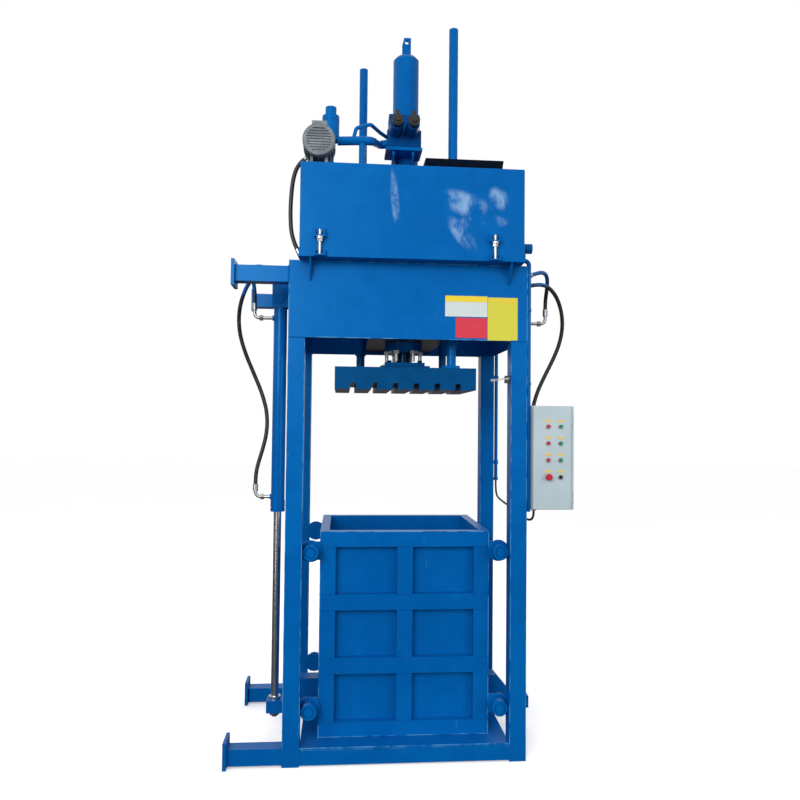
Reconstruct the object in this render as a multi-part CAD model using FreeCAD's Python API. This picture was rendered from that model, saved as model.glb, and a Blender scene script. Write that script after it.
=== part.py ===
import FreeCAD, Part
import math
import os

V = FreeCAD.Vector

# Vertical baler with a lifting bale chamber, in millimetres.
# +Z is up, -Y is the side the operator stands at, and the origin is on the floor
# under the middle of the frame.

# ---------------------------------------------------------------- frame sizes
frame_width = 1440.0        # outside of the posts, along X
frame_depth = 1050.0        # outside of the posts, along Y
post_size = 100.0
post_wall = 6.0
post_height = 2506.0
beam_height = 90.0
beam_lift = 10.0            # underside of the base beams above the floor
beam_wall = 6.0
rail_width = 60.0           # side rails of the base
bearer_width = 120.0        # the middle bearer stands on the floor
bearer_place = 300.0        # the outer bearers, from the middle
floor_plate_thick = 10.0
floor_plate_setback = 2.0

# ------------------------------------------------------------- side arm sizes
arm_size = 95.0
arm_wall = 5.0
arm_reach = 314.0           # past the posts
arm_plate_size = 155.0
arm_plate_thick = 20.0
upper_arm_z = 2880.0        # middle of the upper arms
lower_arm_z = 63.5
lower_plate_z = 82.0        # the lower end plates stand 4.5 clear of the floor

# ----------------------------------------------------------------- head sizes
head_height = 459.0
head_plate = 12.0
web_place = 239.0           # middle of each web, from the press axis
mount_plate_thick = 30.0
mount_plate_z = 24.0        # its underside above the head's lower edge
top_plate_depth = 420.0
corner_gusset = 130.0

# ---------------------------------------------------------------- press sizes
press_x = 10.0              # the press axis lies this far right of the middle
ram_stroke = 1450.0
barrel_r = 87.5
barrel_bore_r = 75.0
barrel_top_z = 4457.0
dome_height = 48.0
eye_plate_width = 60.0
eye_plate_thick = 20.0
eye_plate_top_z = 4622.0
flange_r = 125.0
flange_thick = 50.0
gland_r = 70.0
gland_lip = 8.0
gland_depth = 40.0
ram_rod_r = 50.0
piston_length = 80.0
piston_gap = 0.3            # piston to bore
top_gap = 70.0              # piston top to the closed end, ram up
stud_count = 6
stud_circle_r = 112.0
stud_r = 12.0
stud_hang = 70.0            # below the flange
nut_width = 36.0
nut_height = 20.0

guide_rod_r = 29.5
guide_place_x = 280.0       # guide rods, from the press axis
guide_place_y = 290.0
guide_top_z = 4535.0
sleeve_r = 38.0
sleeve_low = 30.0           # sleeves below the head's lower edge
sleeve_length = 284.0
stop_r = 26.0               # tube that the raised platen comes up against
stop_wall = 5.0
stop_gap = 3.0
stop_place = (305.0, 225.0)
running_gap = 0.08          # radial, rods and guides in their bores
pin_gap = 0.05              # radial, rollers on their axles

platen_top_z = 2352.0
platen_side_gap = 19.0      # platen to the chamber lining, left and right
platen_end_gap = 15.0       # front and back
platen_height = 99.0        # plain upper part
platen_wall = 12.0
bar_height = 40.0           # bars under the platen
slot_count = 6
slot_width = 35.0
slot_pitch = 132.0
pad_size = 320.0
pad_height = 24.0
ram_plate_x = 261.0
ram_plate_y = 240.0
ram_plate_thick = 24.0
guide_foot_r = 55.0
guide_foot_thick = 16.0

# -------------------------------------------------------------- chamber sizes
chamber_width = 1036.0
chamber_depth = 790.0
chamber_height = 1231.0
chamber_gap = 2.0           # above the floor plate
rib_width = 95.0
rib_depth = 50.0
rib_wall = 5.0
low_rib = 88.0
lining_thick = 5.0
rail_count = 4
lift_travel = 950.0

# -------------------------------------------------------------- roller sizes
tread_r = 48.0
tread_width = 70.0
roller_flange_r = 65.0
roller_flange_width = 13.0
roller_gap = 0.5            # tread to post
flange_gap = 4.0            # flange to the back of the post
axle_r = 15.0
axle_head_r = 26.0
axle_head_thick = 6.0
hub_recess_r = 34.0
hub_recess = 8.0
roller_side_gap = 0.4
lug_thick = 14.0
lug_height = 110.0
upper_roller_z = 1228.0
lower_roller_z = 298.0

# --------------------------------------------------------- lifting cylinders
lift_x = 810.0
lift_barrel_r = 44.0
lift_bore_r = 38.0
lift_barrel_low_z = 1489.0
lift_barrel_top_z = 2755.0
lift_gland_r = 47.0
lift_gland_height = 72.0
lift_rod_r = 25.0
lift_piston_length = 60.0
ear_thick = 15.0
ear_gap = 62.0              # between the two ears of a bracket
ear_low_z = 2757.0
ear_top_z = 2932.0
ear_reach = 142.0           # past the head
ear_pin_z = 2816.0
ear_pin_r = 20.0
ear_pin_cap_r = 30.0
eye_width = 60.0

arm_end_low_z = 127.0
arm_end_height = 77.0
arm_end_width = 100.0
arm_root_top_z = 346.0
arm_shoulder_x = 640.0
arm_thick = 110.0           # along Y
arm_box_wall = 10.0
rod_collar_r = 38.0
rod_collar_height = 18.0
rod_nut_width = 60.0
rod_nut_height = 24.0

# ----------------------------------------------------------------- tank sizes
tank_left_x = -655.0
tank_right_x = 675.0
tank_front_y = -625.0
tank_back_y = -340.0
tank_height = 548.0
tank_wall = 4.0
tank_corner_r = 6.0
shelf_thick = 10.0
shelf_lip = 50.0
shelf_lip_thick = 6.0
shelf_side = 4.0            # shelf past the tank at each end
shelf_gusset_drop = 125.0
shelf_gusset_thick = 12.0
shelf_gusset_x = (-592.0, 602.0)
lug_x = (-536.0, 492.0)
lug_width = 64.0
lug_out = 36.0
upper_lug_low = 100.0       # above the tank's bottom
upper_lug_height = 64.0
lower_lug_top = 36.0
lug_bolt_r = 9.0
lug_nut_r = 22.0
stub_r = 31.0
stub_length = 94.0
stub_z = 3096.0
stub_y = -425.0

cover_left_x = 78.0
cover_right_x = 546.0
cover_front_y = -585.0
cover_back_y = -385.0
cover_height = 48.0
cover_flare = 34.0
cover_screw_count = 5
cover_screw_r = 5.0
breather_x = 319.0
breather_y = -500.0
breather_r = 60.0
breather_height = 32.0

# -------------------------------------------------------------- power pack
motor_x = -551.0
motor_z = 3657.0
motor_r = 96.0
motor_front_y = -590.0
motor_back_y = -446.0
motor_fin_count = 24
motor_fin_height = 8.0
cowl_length = 34.0
cowl_wall = 2.0
motor_foot_width = 150.0
motor_foot_length = 110.0
terminal_box = (90.0, 90.0, 46.0)
pump_r = 34.0
pump_length = 74.0
filter_x = -487.0
filter_y = -390.0
filter_neck_r = 21.0
filter_low_z = 3738.0
filter_top_z = 3890.0
filter_r = 53.0
filter_cap_r = 34.0
filter_cap_height = 56.0

manifold_x = -18.0
manifold_width = 220.0
manifold_front_y = -235.0
manifold_back_y = -95.0
manifold_low_z = 3782.0
manifold_height = 111.0
valve_stack_width = 198.0
valve_stack_depth = 118.0
valve_stack_height = 107.0
valve_spacing = 102.0
valve_z = 3880.0
valve_tube_r = 42.0
valve_tube_length = 140.0
coil_r = 29.0
coil_length = 62.0
coil_ring_r = 37.0
coil_ring_width = 12.0
coil_nut_r = 17.0
coil_nut_length = 12.0
plug_size = (24.0, 30.0, 34.0)
manifold_shelf_thick = 20.0
manifold_shelf_over = 8.0
manifold_gusset_x = (-85.0, 42.0)
manifold_gusset_thick = 15.0
manifold_gusset_drop = 120.0

supply_pipe_r = 27.0
supply_pipe_points = ((-445, -390, 3741), (-240, -390, 3752), (-178, -190, 3807), (-122, -190, 3813))
supply_pipe_bend = 70.0
drop_pipe_r = 19.0
drop_pipe_x = -293.0
arch_pipe_r = 12.0
arch_pipe_points = ((-345, -392, 3765), (-330, -392, 3826), (-240, -380, 3858), (-175, -250, 3862), (-128, -180, 3862))
arch_pipe_bend = 30.0

# ------------------------------------------------------------- hoses, cables
hose_d = 26.0
cable_d = 14.0
ferrule_r = 17.0
ferrule_length = 46.0
hose_nut_width = 34.0
hose_nut_length = 22.0
elbow_r = 11.0
elbow_bend = 34.0
upper_port_z = 2690.0
lower_port_z = 1512.0
upper_drop_x = 170.0        # hose ends, out from the lifting cylinder axis
lower_drop_x = 146.0

# Each route runs from the head or the tank to its far fitting.
hose_left_lower_points = (
    (-790, -300, 2936), (-895, -285, 2950), (-985, -225, 2895), (-1042, -155, 2800),
    (-1070, -105, 2690), (-1066, -65, 2570), (-1030, -35, 2445), (-975, -15, 2315),
    (-920, -5, 2185), (-887, 0, 2060), (-887, 0, 1935), (-914, 0, 1818), (-944, 0, 1720),
    (-956, 0, 1650), (-956, 0, 1595))
hose_left_upper_points = (
    (-790, -378, 2925), (-880, -350, 2955), (-948, -280, 2972), (-980, -190, 2973),
    (-990, -103, 2956), (-986, -38, 2917), (-980, 0, 2857), (-980, 0, 2787))
hose_right_upper_points = (
    (790, -338, 2950), (860, -290, 2982), (915, -222, 2990), (952, -145, 2975),
    (972, -75, 2938), (980, -22, 2887), (980, 0, 2838), (980, 0, 2787))
hose_right_lower_points = (
    (790, -262, 2893), (890, -232, 2926), (988, -178, 2878), (1052, -120, 2785),
    (1082, -70, 2672), (1072, -35, 2555), (1030, -12, 2440), (975, -4, 2330),
    (925, 0, 2220), (893, 0, 2105), (884, 0, 1980), (896, 0, 1862), (922, 0, 1760),
    (946, 0, 1686), (956, 0, 1640), (956, 0, 1595))
tank_hose_points = (
    (-645, -420, 3605), (-681, -420, 3574), (-710, -420, 3493), (-722, -420, 3370),
    (-724, -420, 3243), (-714, -420, 3126), (-681, -420, 3053))
control_cable_points = (
    (747, 475, 1589), (747, 475, 1545), (747, 462, 1505), (747, 432, 1478), (746, 350, 1465),
    (745, 240, 1458), (744, 110, 1452), (743, -30, 1444), (745, -160, 1432), (752, -275, 1418),
    (763, -357, 1410), (775, -401, 1412), (783, -423, 1426), (786, -436, 1449), (786, -436, 1475))

# --------------------------------------------------------- electrical sizes
box_left_x = 750.0
box_right_x = 1006.0
box_low_z = 1491.0
box_height = 625.0
box_front_y = -532.0
box_depth = 180.0
box_wall = 3.0
box_rim = 14.0
door_thick = 16.0
door_skin = 2.0
door_right_gap = 22.0       # door edge to the box's right side, for the hinges
door_side_gap = 2.0
door_back_gap = 3.0
hinge_r = 5.0
hinge_gap = 1.0
hinge_heights = (79.0, 545.0)
hinge_length = 72.0
button_columns = (843.0, 919.0)
button_rows = (1992.0, 1891.0, 1790.0, 1689.0)
bezel_r = 15.0
bezel_bore_r = 11.5
bezel_out = 6.0
bezel_skirt = 11.0          # threaded body behind the door skin
button_gap = 0.5
button_out = 11.0           # cap face in front of the door
button_travel = 4.0
estop_r = 20.0
estop_out = 30.0
selector_out = 22.0
bracket_bar = 24.0
bracket_rows = (150.0, 520.0)

conduit_r = 13.5
conduit_x = 735.0
conduit_y = -495.0
conduit_low_z = 1475.0
conduit_bend = 45.0
conduit_start_z = 3003.0
conduit_nut_r = 14.9         # fits between the post and the box
rear_conduit_r = 12.5
rear_conduit_x = 747.0
rear_conduit_y = 475.0
rear_conduit_low_z = 1589.0
rear_conduit_top_z = 2890.0
saddle_z = (1722.0, 2350.0)
conduit_strap_z = (2250.0, 2700.0)
saddle_width = 26.0
saddle_wall = 5.0
gland_nut_r = 16.0
cable_gland = (786.0, -436.0)
cable_gland_drop = 16.0

switch_z = 2279.0
switch_y = -485.0
switch_body = (28.0, 40.0, 44.0)
lever_pivot_out = 14.0      # pivot from the post's face
lever_length = 100.0
lever_drop = 12.0
lever_wide = 12.0
lever_thick = 3.0
lever_roller_r = 9.0
lever_roller_width = 8.0
lever_pin_r = 4.0

# ------------------------------------------------------------- derived places
post_x = frame_width / 2 - post_size / 2
post_y = frame_depth / 2 - post_size / 2
inner_x = frame_width / 2 - post_size
outer_x = frame_width / 2
front_y = -frame_depth / 2
beam_top_z = beam_lift + beam_height
floor_z = beam_top_z + floor_plate_thick
head_top_z = post_height + head_height
mount_z = post_height + mount_plate_z
flange_low_z = mount_z - flange_thick
chamber_z = floor_z + chamber_gap
chamber_top_z = chamber_z + chamber_height
lining_x = chamber_width / 2 - rib_depth
lining_y = chamber_depth / 2 - rib_depth
platen_x = lining_x - lining_thick - platen_side_gap
platen_y = lining_y - lining_thick - platen_end_gap
platen_low_z = platen_top_z - platen_height
ram_low_z = platen_top_z + pad_height
rod_low_z = ram_low_z + ram_plate_thick
piston_top_z = barrel_top_z - top_gap
tank_low_z = head_top_z + shelf_thick
tank_top_z = tank_low_z + tank_height
roller_x = inner_x - roller_gap - tread_r
flange_inner_y = post_y - post_size / 2 - flange_gap
door_front_y = box_front_y - door_back_gap - door_thick
door_low_z = box_low_z + 4.0
door_height = box_height - 8.0
door_right_x = box_right_x - door_right_gap
hinge_x = door_right_x + hinge_r + hinge_gap
switch_face_x = inner_x - switch_body[0]

CENTRE = V(0, 0, 0)
X_AXIS = V(1, 0, 0)
Y_AXIS = V(0, 1, 0)
Z_AXIS = V(0, 0, 1)


# ------------------------------------------------------------------- helpers
def box(x0, x1, y0, y1, z0, z1):
    return Part.makeBox(x1 - x0, y1 - y0, z1 - z0, V(x0, y0, z0))


def cyl(r, start, end):
    """Round bar from one point to another."""
    start, end = V(*start), V(*end)
    return Part.makeCylinder(r, (end - start).Length, start, end - start)


def ring(r, bore, start, end):
    return cyl(r, start, end).cut(cyl(bore, start, end))


def hex_bar(across, start, end):
    """Hexagonal bar, across its flats."""
    start, end = V(*start), V(*end)
    axis = (end - start).normalize()
    side = axis.cross(X_AXIS if abs(axis.x) < 0.9 else Z_AXIS).normalize()
    up = axis.cross(side)
    r = across / math.sqrt(3)
    turns = [math.radians(60 * i) for i in range(6)]
    pts = [start + side * (r * math.cos(a)) + up * (r * math.sin(a)) for a in turns]
    face = Part.Face(Part.makePolygon(pts + pts[:1]))
    return face.extrude(end - start)


def prism(pts, along):
    """Flat outline, pushed along a vector."""
    pts = [V(*p) for p in pts]
    return Part.Face(Part.makePolygon(pts + pts[:1])).extrude(V(*along))


def fuse(shapes):
    whole = shapes[0].multiFuse(shapes[1:]) if len(shapes) > 1 else shapes[0]
    return whole.removeSplitter()


def solid_of(shape):
    return shape.Solids[0] if len(shape.Solids) == 1 else shape


def tube_x(x0, x1, y0, y1, z0, z1, wall):
    """Rectangular tube along X, open at both ends."""
    return box(x0, x1, y0, y1, z0, z1).cut(box(x0, x1, y0 + wall, y1 - wall, z0 + wall, z1 - wall))


def tube_y(x0, x1, y0, y1, z0, z1, wall):
    return box(x0, x1, y0, y1, z0, z1).cut(box(x0 + wall, x1 - wall, y0, y1, z0 + wall, z1 - wall))


def tube_z(x0, x1, y0, y1, z0, z1, wall):
    return box(x0, x1, y0, y1, z0, z1).cut(box(x0 + wall, x1 - wall, y0 + wall, y1 - wall, z0, z1))


def mirror_x(shape):
    return shape.mirror(CENTRE, X_AXIS)


def mirror_y(shape):
    return shape.mirror(CENTRE, Y_AXIS)


def rounded_path(points, bend=None):
    """Straight runs joined by tangent arcs. With no bend given, each arc is as large as its runs allow."""
    pts = [V(*p) for p in points]
    edges, radii, at = [], [], pts[0]
    for before, corner, after in zip(pts, pts[1:], pts[2:]):
        arrive, leave = (corner - before), (after - corner)
        shorter = min(arrive.Length, leave.Length)
        arrive.normalize()
        leave.normalize()
        half = arrive.getAngle(leave) / 2
        radius = 0.45 * shorter / math.tan(half)
        if bend:
            radius = min(bend, radius)
        cut_back = radius * math.tan(half)
        first, last = corner - arrive * cut_back, corner + leave * cut_back
        inward = (leave - arrive).normalize()
        middle = corner + inward * (radius / math.cos(half) - radius)
        edges.append(Part.LineSegment(at, first).toShape())
        edges.append(Part.Arc(first, middle, last).toShape())
        radii.append(radius)
        at = last
    edges.append(Part.LineSegment(at, pts[-1]).toShape())
    return Part.Wire(edges), radii


def pipe(points, r, bend=None, name=None):
    path, radii = rounded_path(points, bend)
    start = V(*points[0])
    run = V(*points[1]) - start
    profile = Part.Wire([Part.makeCircle(r, start, run)])
    solid = path.makePipeShell([profile], True, False)
    if name:
        share = solid.Volume / (math.pi * r * r * path.Length)
        print(f"{name}: length {path.Length:.0f}, radii {[round(q) for q in radii]}, volume share {share:.4f}")
    return solid


def elbow(end, corner_z, x_sign, r, bend):
    """Quarter bend from a vertical hose end down and in to a level port."""
    x, y, z = end
    hub = V(x - x_sign * bend, y, corner_z + bend)
    profile = Part.Face(Part.Wire([Part.makeCircle(r, V(x, y, corner_z + bend), Z_AXIS)]))
    quarter = profile.revolve(hub, Y_AXIS, 90 * x_sign)
    leg = cyl(r, (x, y, corner_z + bend), (x, y, z)) if z > corner_z + bend + 0.01 else None
    return [quarter] + ([leg] if leg else [])


# -------------------------------------------------------------- frame pieces
def make_posts():
    post = tube_z(-outer_x, -inner_x, front_y, front_y + post_size, 0, post_height, post_wall)
    pair = [post, mirror_x(post)]
    return pair + [mirror_y(p) for p in pair]


def make_base_frame():
    front = box(-inner_x, inner_x, front_y, front_y + post_size, beam_lift, beam_top_z)
    front_core = box(-inner_x, inner_x, front_y + beam_wall, front_y + post_size - beam_wall,
                     beam_lift + beam_wall, beam_top_z - beam_wall)
    front = front.cut(front_core)
    inner_front = front_y + post_size
    pieces = [front, mirror_y(front)]
    for x in (-inner_x, inner_x - rail_width):
        pieces.append(tube_y(x, x + rail_width, inner_front, -inner_front, beam_lift, beam_top_z, beam_wall))
    for x in (-bearer_place, bearer_place):
        half = rail_width / 2
        pieces.append(tube_y(x - half, x + half, inner_front, -inner_front, beam_lift, beam_top_z, beam_wall))
    half = bearer_width / 2
    pieces.append(tube_y(-half, half, inner_front, -inner_front, 0, beam_top_z, beam_wall))
    return [fuse(pieces)]


def make_floor_plate():
    deep = frame_depth / 2 - floor_plate_setback
    plate = box(-inner_x, inner_x, -deep, deep, beam_top_z, floor_z)
    return [plate]


def make_side_arms():
    arms = []
    for middle, plate_middle in ((upper_arm_z, upper_arm_z), (lower_arm_z, lower_plate_z)):
        low, high = middle - arm_size / 2, middle + arm_size / 2
        arm = tube_x(-outer_x - arm_reach, -outer_x, front_y, front_y + arm_size, low, high, arm_wall)
        y = front_y + arm_size / 2
        half = arm_plate_size / 2
        plate = box(-outer_x - arm_reach - arm_plate_thick, -outer_x - arm_reach,
                    y - half, y + half, plate_middle - half, plate_middle + half)
        whole = fuse([arm, plate])
        arms += [whole, mirror_y(whole)]
    return arms


# --------------------------------------------------------------- head pieces
def guide_places():
    return [(press_x + guide_place_x, -guide_place_y), (press_x - guide_place_x, guide_place_y)]


def make_head_frame():
    back_y = -front_y
    low, top = post_height, head_top_z
    parts = [
        box(-outer_x, outer_x, front_y, front_y + head_plate, low, top),
        box(-outer_x, outer_x, back_y - head_plate, back_y, low, top),
        box(-outer_x, -outer_x + head_plate, front_y, back_y, low, top),
        box(outer_x - head_plate, outer_x, front_y, back_y, low, top)]
    for side in (-1, 1):
        x = press_x + side * web_place
        parts.append(box(x - head_plate / 2, x + head_plate / 2, front_y, back_y, mount_z, top))
    reach = web_place - head_plate / 2
    parts.append(box(press_x - reach, press_x + reach, front_y, back_y, mount_z, mount_z + mount_plate_thick))
    half = top_plate_depth / 2
    parts.append(box(press_x - reach, press_x + reach, -half, half, top - head_plate, top))
    # corner gussets across the bottom corners
    for sx in (-1, 1):
        for sy in (-1, 1):
            cx, cy = sx * outer_x, sy * back_y
            pts = ((cx, cy, low), (cx - sx * corner_gusset, cy, low), (cx, cy - sy * corner_gusset, low))
            parts.append(prism(pts, (0, 0, head_plate)))
    sleeve_low_z = low - sleeve_low
    for x, y in guide_places():
        parts.append(cyl(sleeve_r, (x, y, sleeve_low_z), (x, y, sleeve_low_z + sleeve_length)))
    stop_x, stop_y = stop_place
    stop_low, stop_top = platen_top_z + stop_gap, mount_z + 150
    parts.append(ring(stop_r, stop_r - stop_wall, (stop_x, stop_y, stop_low), (stop_x, stop_y, stop_top)))
    web_face = press_x + reach
    parts.append(box(web_face, stop_x - stop_r + 2, stop_y - 6, stop_y + 6, mount_z, stop_top))
    head = fuse(parts)
    holes = [cyl(barrel_r + piston_gap, (press_x, 0, mount_z - 1), (press_x, 0, top + 1))]
    for x, y in guide_places():
        holes.append(cyl(guide_rod_r + running_gap, (x, y, sleeve_low_z - 1), (x, y, sleeve_low_z + sleeve_length + 1)))
    holes += [cyl(stud_r + piston_gap, (x, y, mount_z - 1), (x, y, mount_z + mount_plate_thick + 1)) for x, y in stud_places()]
    return [head.cut(fuse_all(holes))]


def fuse_all(shapes):
    return shapes[0].multiFuse(shapes[1:])


def stud_places():
    turns = [math.radians(360 * i / stud_count) for i in range(stud_count)]
    return [(press_x + stud_circle_r * math.cos(a), stud_circle_r * math.sin(a)) for a in turns]


def make_main_cylinder():
    barrel = cyl(barrel_r, (press_x, 0, flange_low_z), (press_x, 0, barrel_top_z))
    # shallow domed end
    sphere_r = (barrel_r ** 2 + dome_height ** 2) / (2 * dome_height)
    ball = Part.makeSphere(sphere_r, V(press_x, 0, barrel_top_z + dome_height - sphere_r))
    dome = ball.common(cyl(barrel_r, (press_x, 0, barrel_top_z), (press_x, 0, barrel_top_z + dome_height)))
    flange = cyl(flange_r, (press_x, 0, flange_low_z), (press_x, 0, mount_z))
    bevel = 14.0
    half = eye_plate_width / 2
    low = barrel_top_z + dome_height / 2
    outline = ((press_x - half, -eye_plate_thick / 2, low), (press_x + half, -eye_plate_thick / 2, low),
               (press_x + half, -eye_plate_thick / 2, eye_plate_top_z),
               (press_x - half + bevel, -eye_plate_thick / 2, eye_plate_top_z),
               (press_x - half, -eye_plate_thick / 2, eye_plate_top_z - 55))
    eye = prism(outline, (0, eye_plate_thick, 0))
    eye = eye.cut(cyl(13, (press_x + 2, -eye_plate_thick, eye_plate_top_z - 32),
                      (press_x + 2, eye_plate_thick, eye_plate_top_z - 32)))
    half = manifold_width / 2 + manifold_shelf_over
    shelf = box(manifold_x - half, manifold_x + half, manifold_front_y, -barrel_r / 2,
                manifold_low_z - manifold_shelf_thick, manifold_low_z)
    parts = [barrel, dome, flange, eye, shelf]
    low = manifold_low_z - manifold_shelf_thick
    for x in manifold_gusset_x:
        left = x - manifold_gusset_thick / 2
        pts = ((left, manifold_front_y + 20, low), (left, -barrel_r / 2, low), (left, -barrel_r / 2, low - manifold_gusset_drop),
               (left, manifold_front_y + 20, low - 25))
        parts.append(prism(pts, (manifold_gusset_thick, 0, 0)))
    whole = fuse(parts)
    bore = cyl(barrel_bore_r, (press_x, 0, flange_low_z - 1), (press_x, 0, barrel_top_z - 12))
    holes = [cyl(stud_r + piston_gap, (x, y, flange_low_z - 1), (x, y, mount_z + 1)) for x, y in stud_places()]
    return [whole.cut(fuse_all([bore] + holes))]


def make_cylinder_glands():
    low = flange_low_z - gland_lip
    spigot = cyl(barrel_bore_r, (press_x, 0, flange_low_z), (press_x, 0, flange_low_z + gland_depth))
    lip = cyl(gland_r, (press_x, 0, low), (press_x, 0, flange_low_z))
    bore = cyl(ram_rod_r + running_gap, (press_x, 0, low - 1), (press_x, 0, flange_low_z + gland_depth + 1))
    glands = [fuse([spigot, lip]).cut(bore)]
    for sx in (-1, 1):
        x, z0 = sx * lift_x, lift_barrel_low_z - lift_gland_height
        nut = cyl(lift_gland_r, (x, 0, z0), (x, 0, lift_barrel_low_z))
        groove = ring(lift_gland_r + 1, lift_gland_r - 2.5, (x, 0, z0 + 22), (x, 0, z0 + 30))
        plug = cyl(lift_bore_r, (x, 0, lift_barrel_low_z), (x, 0, lift_barrel_low_z + 12))
        hole = cyl(lift_rod_r + running_gap, (x, 0, z0 - 1), (x, 0, lift_barrel_low_z + 13))
        glands.append(fuse([nut.cut(groove), plug]).cut(hole))
    return glands


def make_fasteners():
    items = []
    for x, y in stud_places():
        rod = cyl(stud_r, (x, y, flange_low_z - stud_hang), (x, y, mount_z + mount_plate_thick + 8))
        nut = hex_bar(nut_width, (x, y, flange_low_z - nut_height), (x, y, flange_low_z))
        head = hex_bar(nut_width, (x, y, mount_z + mount_plate_thick), (x, y, mount_z + mount_plate_thick + 16))
        items.append(fuse([rod, nut, head]))
    y = tank_front_y - shelf_lip_thick - lug_out / 2
    for x in lug_x:
        low = tank_low_z - shelf_thick + 2
        shank = cyl(lug_bolt_r, (x, y, low), (x, y, tank_low_z + upper_lug_low + 40))
        washer = cyl(lug_nut_r, (x, y, tank_low_z + upper_lug_low - 12), (x, y, tank_low_z + upper_lug_low))
        nut = hex_bar(28, (x, y, tank_low_z + upper_lug_low - 28), (x, y, tank_low_z + upper_lug_low - 12))
        items.append(fuse([shank, washer, nut]))
    return items


# --------------------------------------------------------------- tank pieces
def lug_block(x, z0, z1, back_y):
    y0 = tank_front_y - shelf_lip_thick - lug_out
    block = box(x - lug_width / 2, x + lug_width / 2, y0, back_y, z0, z1)
    # open underneath between its two cheeks
    pocket = box(x - lug_width / 2 + 8, x + lug_width / 2 - 8, y0 - 1, back_y - 6, z0 - 1, z1 - 10)
    hole = cyl(lug_bolt_r + piston_gap, (x, (y0 + back_y) / 2, z0 - 1), (x, (y0 + back_y) / 2, z1 + 1))
    return block, pocket, hole


def lug_bolt_hole(x):
    y = tank_front_y - shelf_lip_thick - lug_out / 2
    return cyl(lug_bolt_r + piston_gap, (x, y, head_top_z - 5), (x, y, tank_low_z + 260))


def make_tank_shelf():
    left, right = tank_left_x - shelf_side, tank_right_x + shelf_side
    low = head_top_z
    lip_y = tank_front_y - shelf_lip_thick
    plate = box(left, right, lip_y, tank_back_y, low, tank_low_z)
    lip = box(left, right, lip_y, tank_front_y, low, low + shelf_lip)
    parts = [plate, lip]
    for x in shelf_gusset_x:
        half = shelf_gusset_thick / 2
        pts = ((x - half, front_y, low), (x - half, tank_front_y + 4, low), (x - half, front_y, low - shelf_gusset_drop))
        parts.append(prism(pts, (shelf_gusset_thick, 0, 0)))
    for x in lug_x:
        y0 = lip_y - lug_out
        for side in (-1, 1):
            cheek_x = x + side * (lug_width / 2 - 4)
            parts.append(box(cheek_x - 4, cheek_x + 4, y0, lip_y, low, low + lower_lug_top))
        parts.append(box(x - lug_width / 2, x + lug_width / 2, y0, lip_y, low, low + 8))
    shelf = fuse(parts)
    return [shelf.cut(fuse_all([lug_bolt_hole(x) for x in lug_x]))]


def make_tank_shell():
    outer = box(tank_left_x, tank_right_x, tank_front_y, tank_back_y, tank_low_z, tank_top_z)
    edges = [e for e in outer.Edges if abs(e.tangentAt(0).z) > 0.9 or e.BoundBox.ZMin > tank_top_z - 1]
    outer = outer.makeFillet(tank_corner_r, edges)
    parts = [outer]
    lip_y = tank_front_y - shelf_lip_thick
    for x in lug_x:
        z0 = tank_low_z + upper_lug_low
        parts.append(box(x - lug_width / 2, x + lug_width / 2, lip_y - lug_out, tank_front_y + 2,
                         z0, z0 + 10))
        for side in (-1, 1):
            cheek_x = x + side * (lug_width / 2 - 4)
            pts = ((cheek_x - 4, tank_front_y + 2, z0), (cheek_x - 4, lip_y - lug_out, z0),
                   (cheek_x - 4, lip_y - lug_out, z0 + 14), (cheek_x - 4, tank_front_y + 2, z0 + upper_lug_height))
            parts.append(prism(pts, (8, 0, 0)))
    parts.append(cyl(stub_r, (tank_right_x - 2, stub_y, stub_z), (tank_right_x + stub_length, stub_y, stub_z)))
    tank = fuse(parts)
    w = tank_wall
    inside = box(tank_left_x + w, tank_right_x - w, tank_front_y + w, tank_back_y - w, tank_low_z + w, tank_top_z - w)
    hatch = box(cover_left_x + 40, cover_right_x - 40, cover_front_y + 30, cover_back_y - 30, tank_top_z - w - 1, tank_top_z + 1)
    stub_bore = cyl(stub_r - 4, (tank_right_x - w - 1, stub_y, stub_z), (tank_right_x + stub_length - 8, stub_y, stub_z))
    cuts = [inside, hatch, stub_bore] + [lug_bolt_hole(x) for x in lug_x]
    return [tank.cut(fuse_all(cuts))]


def cover_outline(z, flare):
    front = cover_front_y - flare
    pts = [V(cover_left_x, front, z), V(cover_right_x, front, z), V(cover_right_x, cover_back_y, z), V(cover_left_x, cover_back_y, z)]
    return Part.makePolygon(pts + pts[:1])


def make_hatch_cover():
    low, top = tank_top_z, tank_top_z + cover_height
    outer = Part.makeLoft([cover_outline(low, 0), cover_outline(top, cover_flare)], True)
    inner = Part.makeLoft([cover_outline(low - 1, -4), cover_outline(top - 3, cover_flare - 4)], True)
    inner = inner.common(box(cover_left_x + 3, cover_right_x - 3, cover_front_y - 100, cover_back_y - 3, low - 2, top))
    cover = outer.cut(inner)
    pitch = (cover_right_x - cover_left_x) / cover_screw_count
    slope_y = cover_front_y - cover_flare / 2
    middle = (low + top) / 2
    for i in range(cover_screw_count):
        x = cover_left_x + pitch * (i + 0.5)
        cover = cover.fuse(cyl(cover_screw_r, (x, slope_y + 3, middle + 2), (x, slope_y - 6, middle - 4)))
    return [cover]


def make_breather_cap():
    base_z = tank_top_z + cover_height
    sphere_r = (breather_r ** 2 + breather_height ** 2) / (2 * breather_height)
    ball = Part.makeSphere(sphere_r, V(breather_x, breather_y, base_z + breather_height - sphere_r))
    dome = ball.common(cyl(breather_r, (breather_x, breather_y, base_z), (breather_x, breather_y, base_z + breather_height)))
    return [dome]


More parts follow.
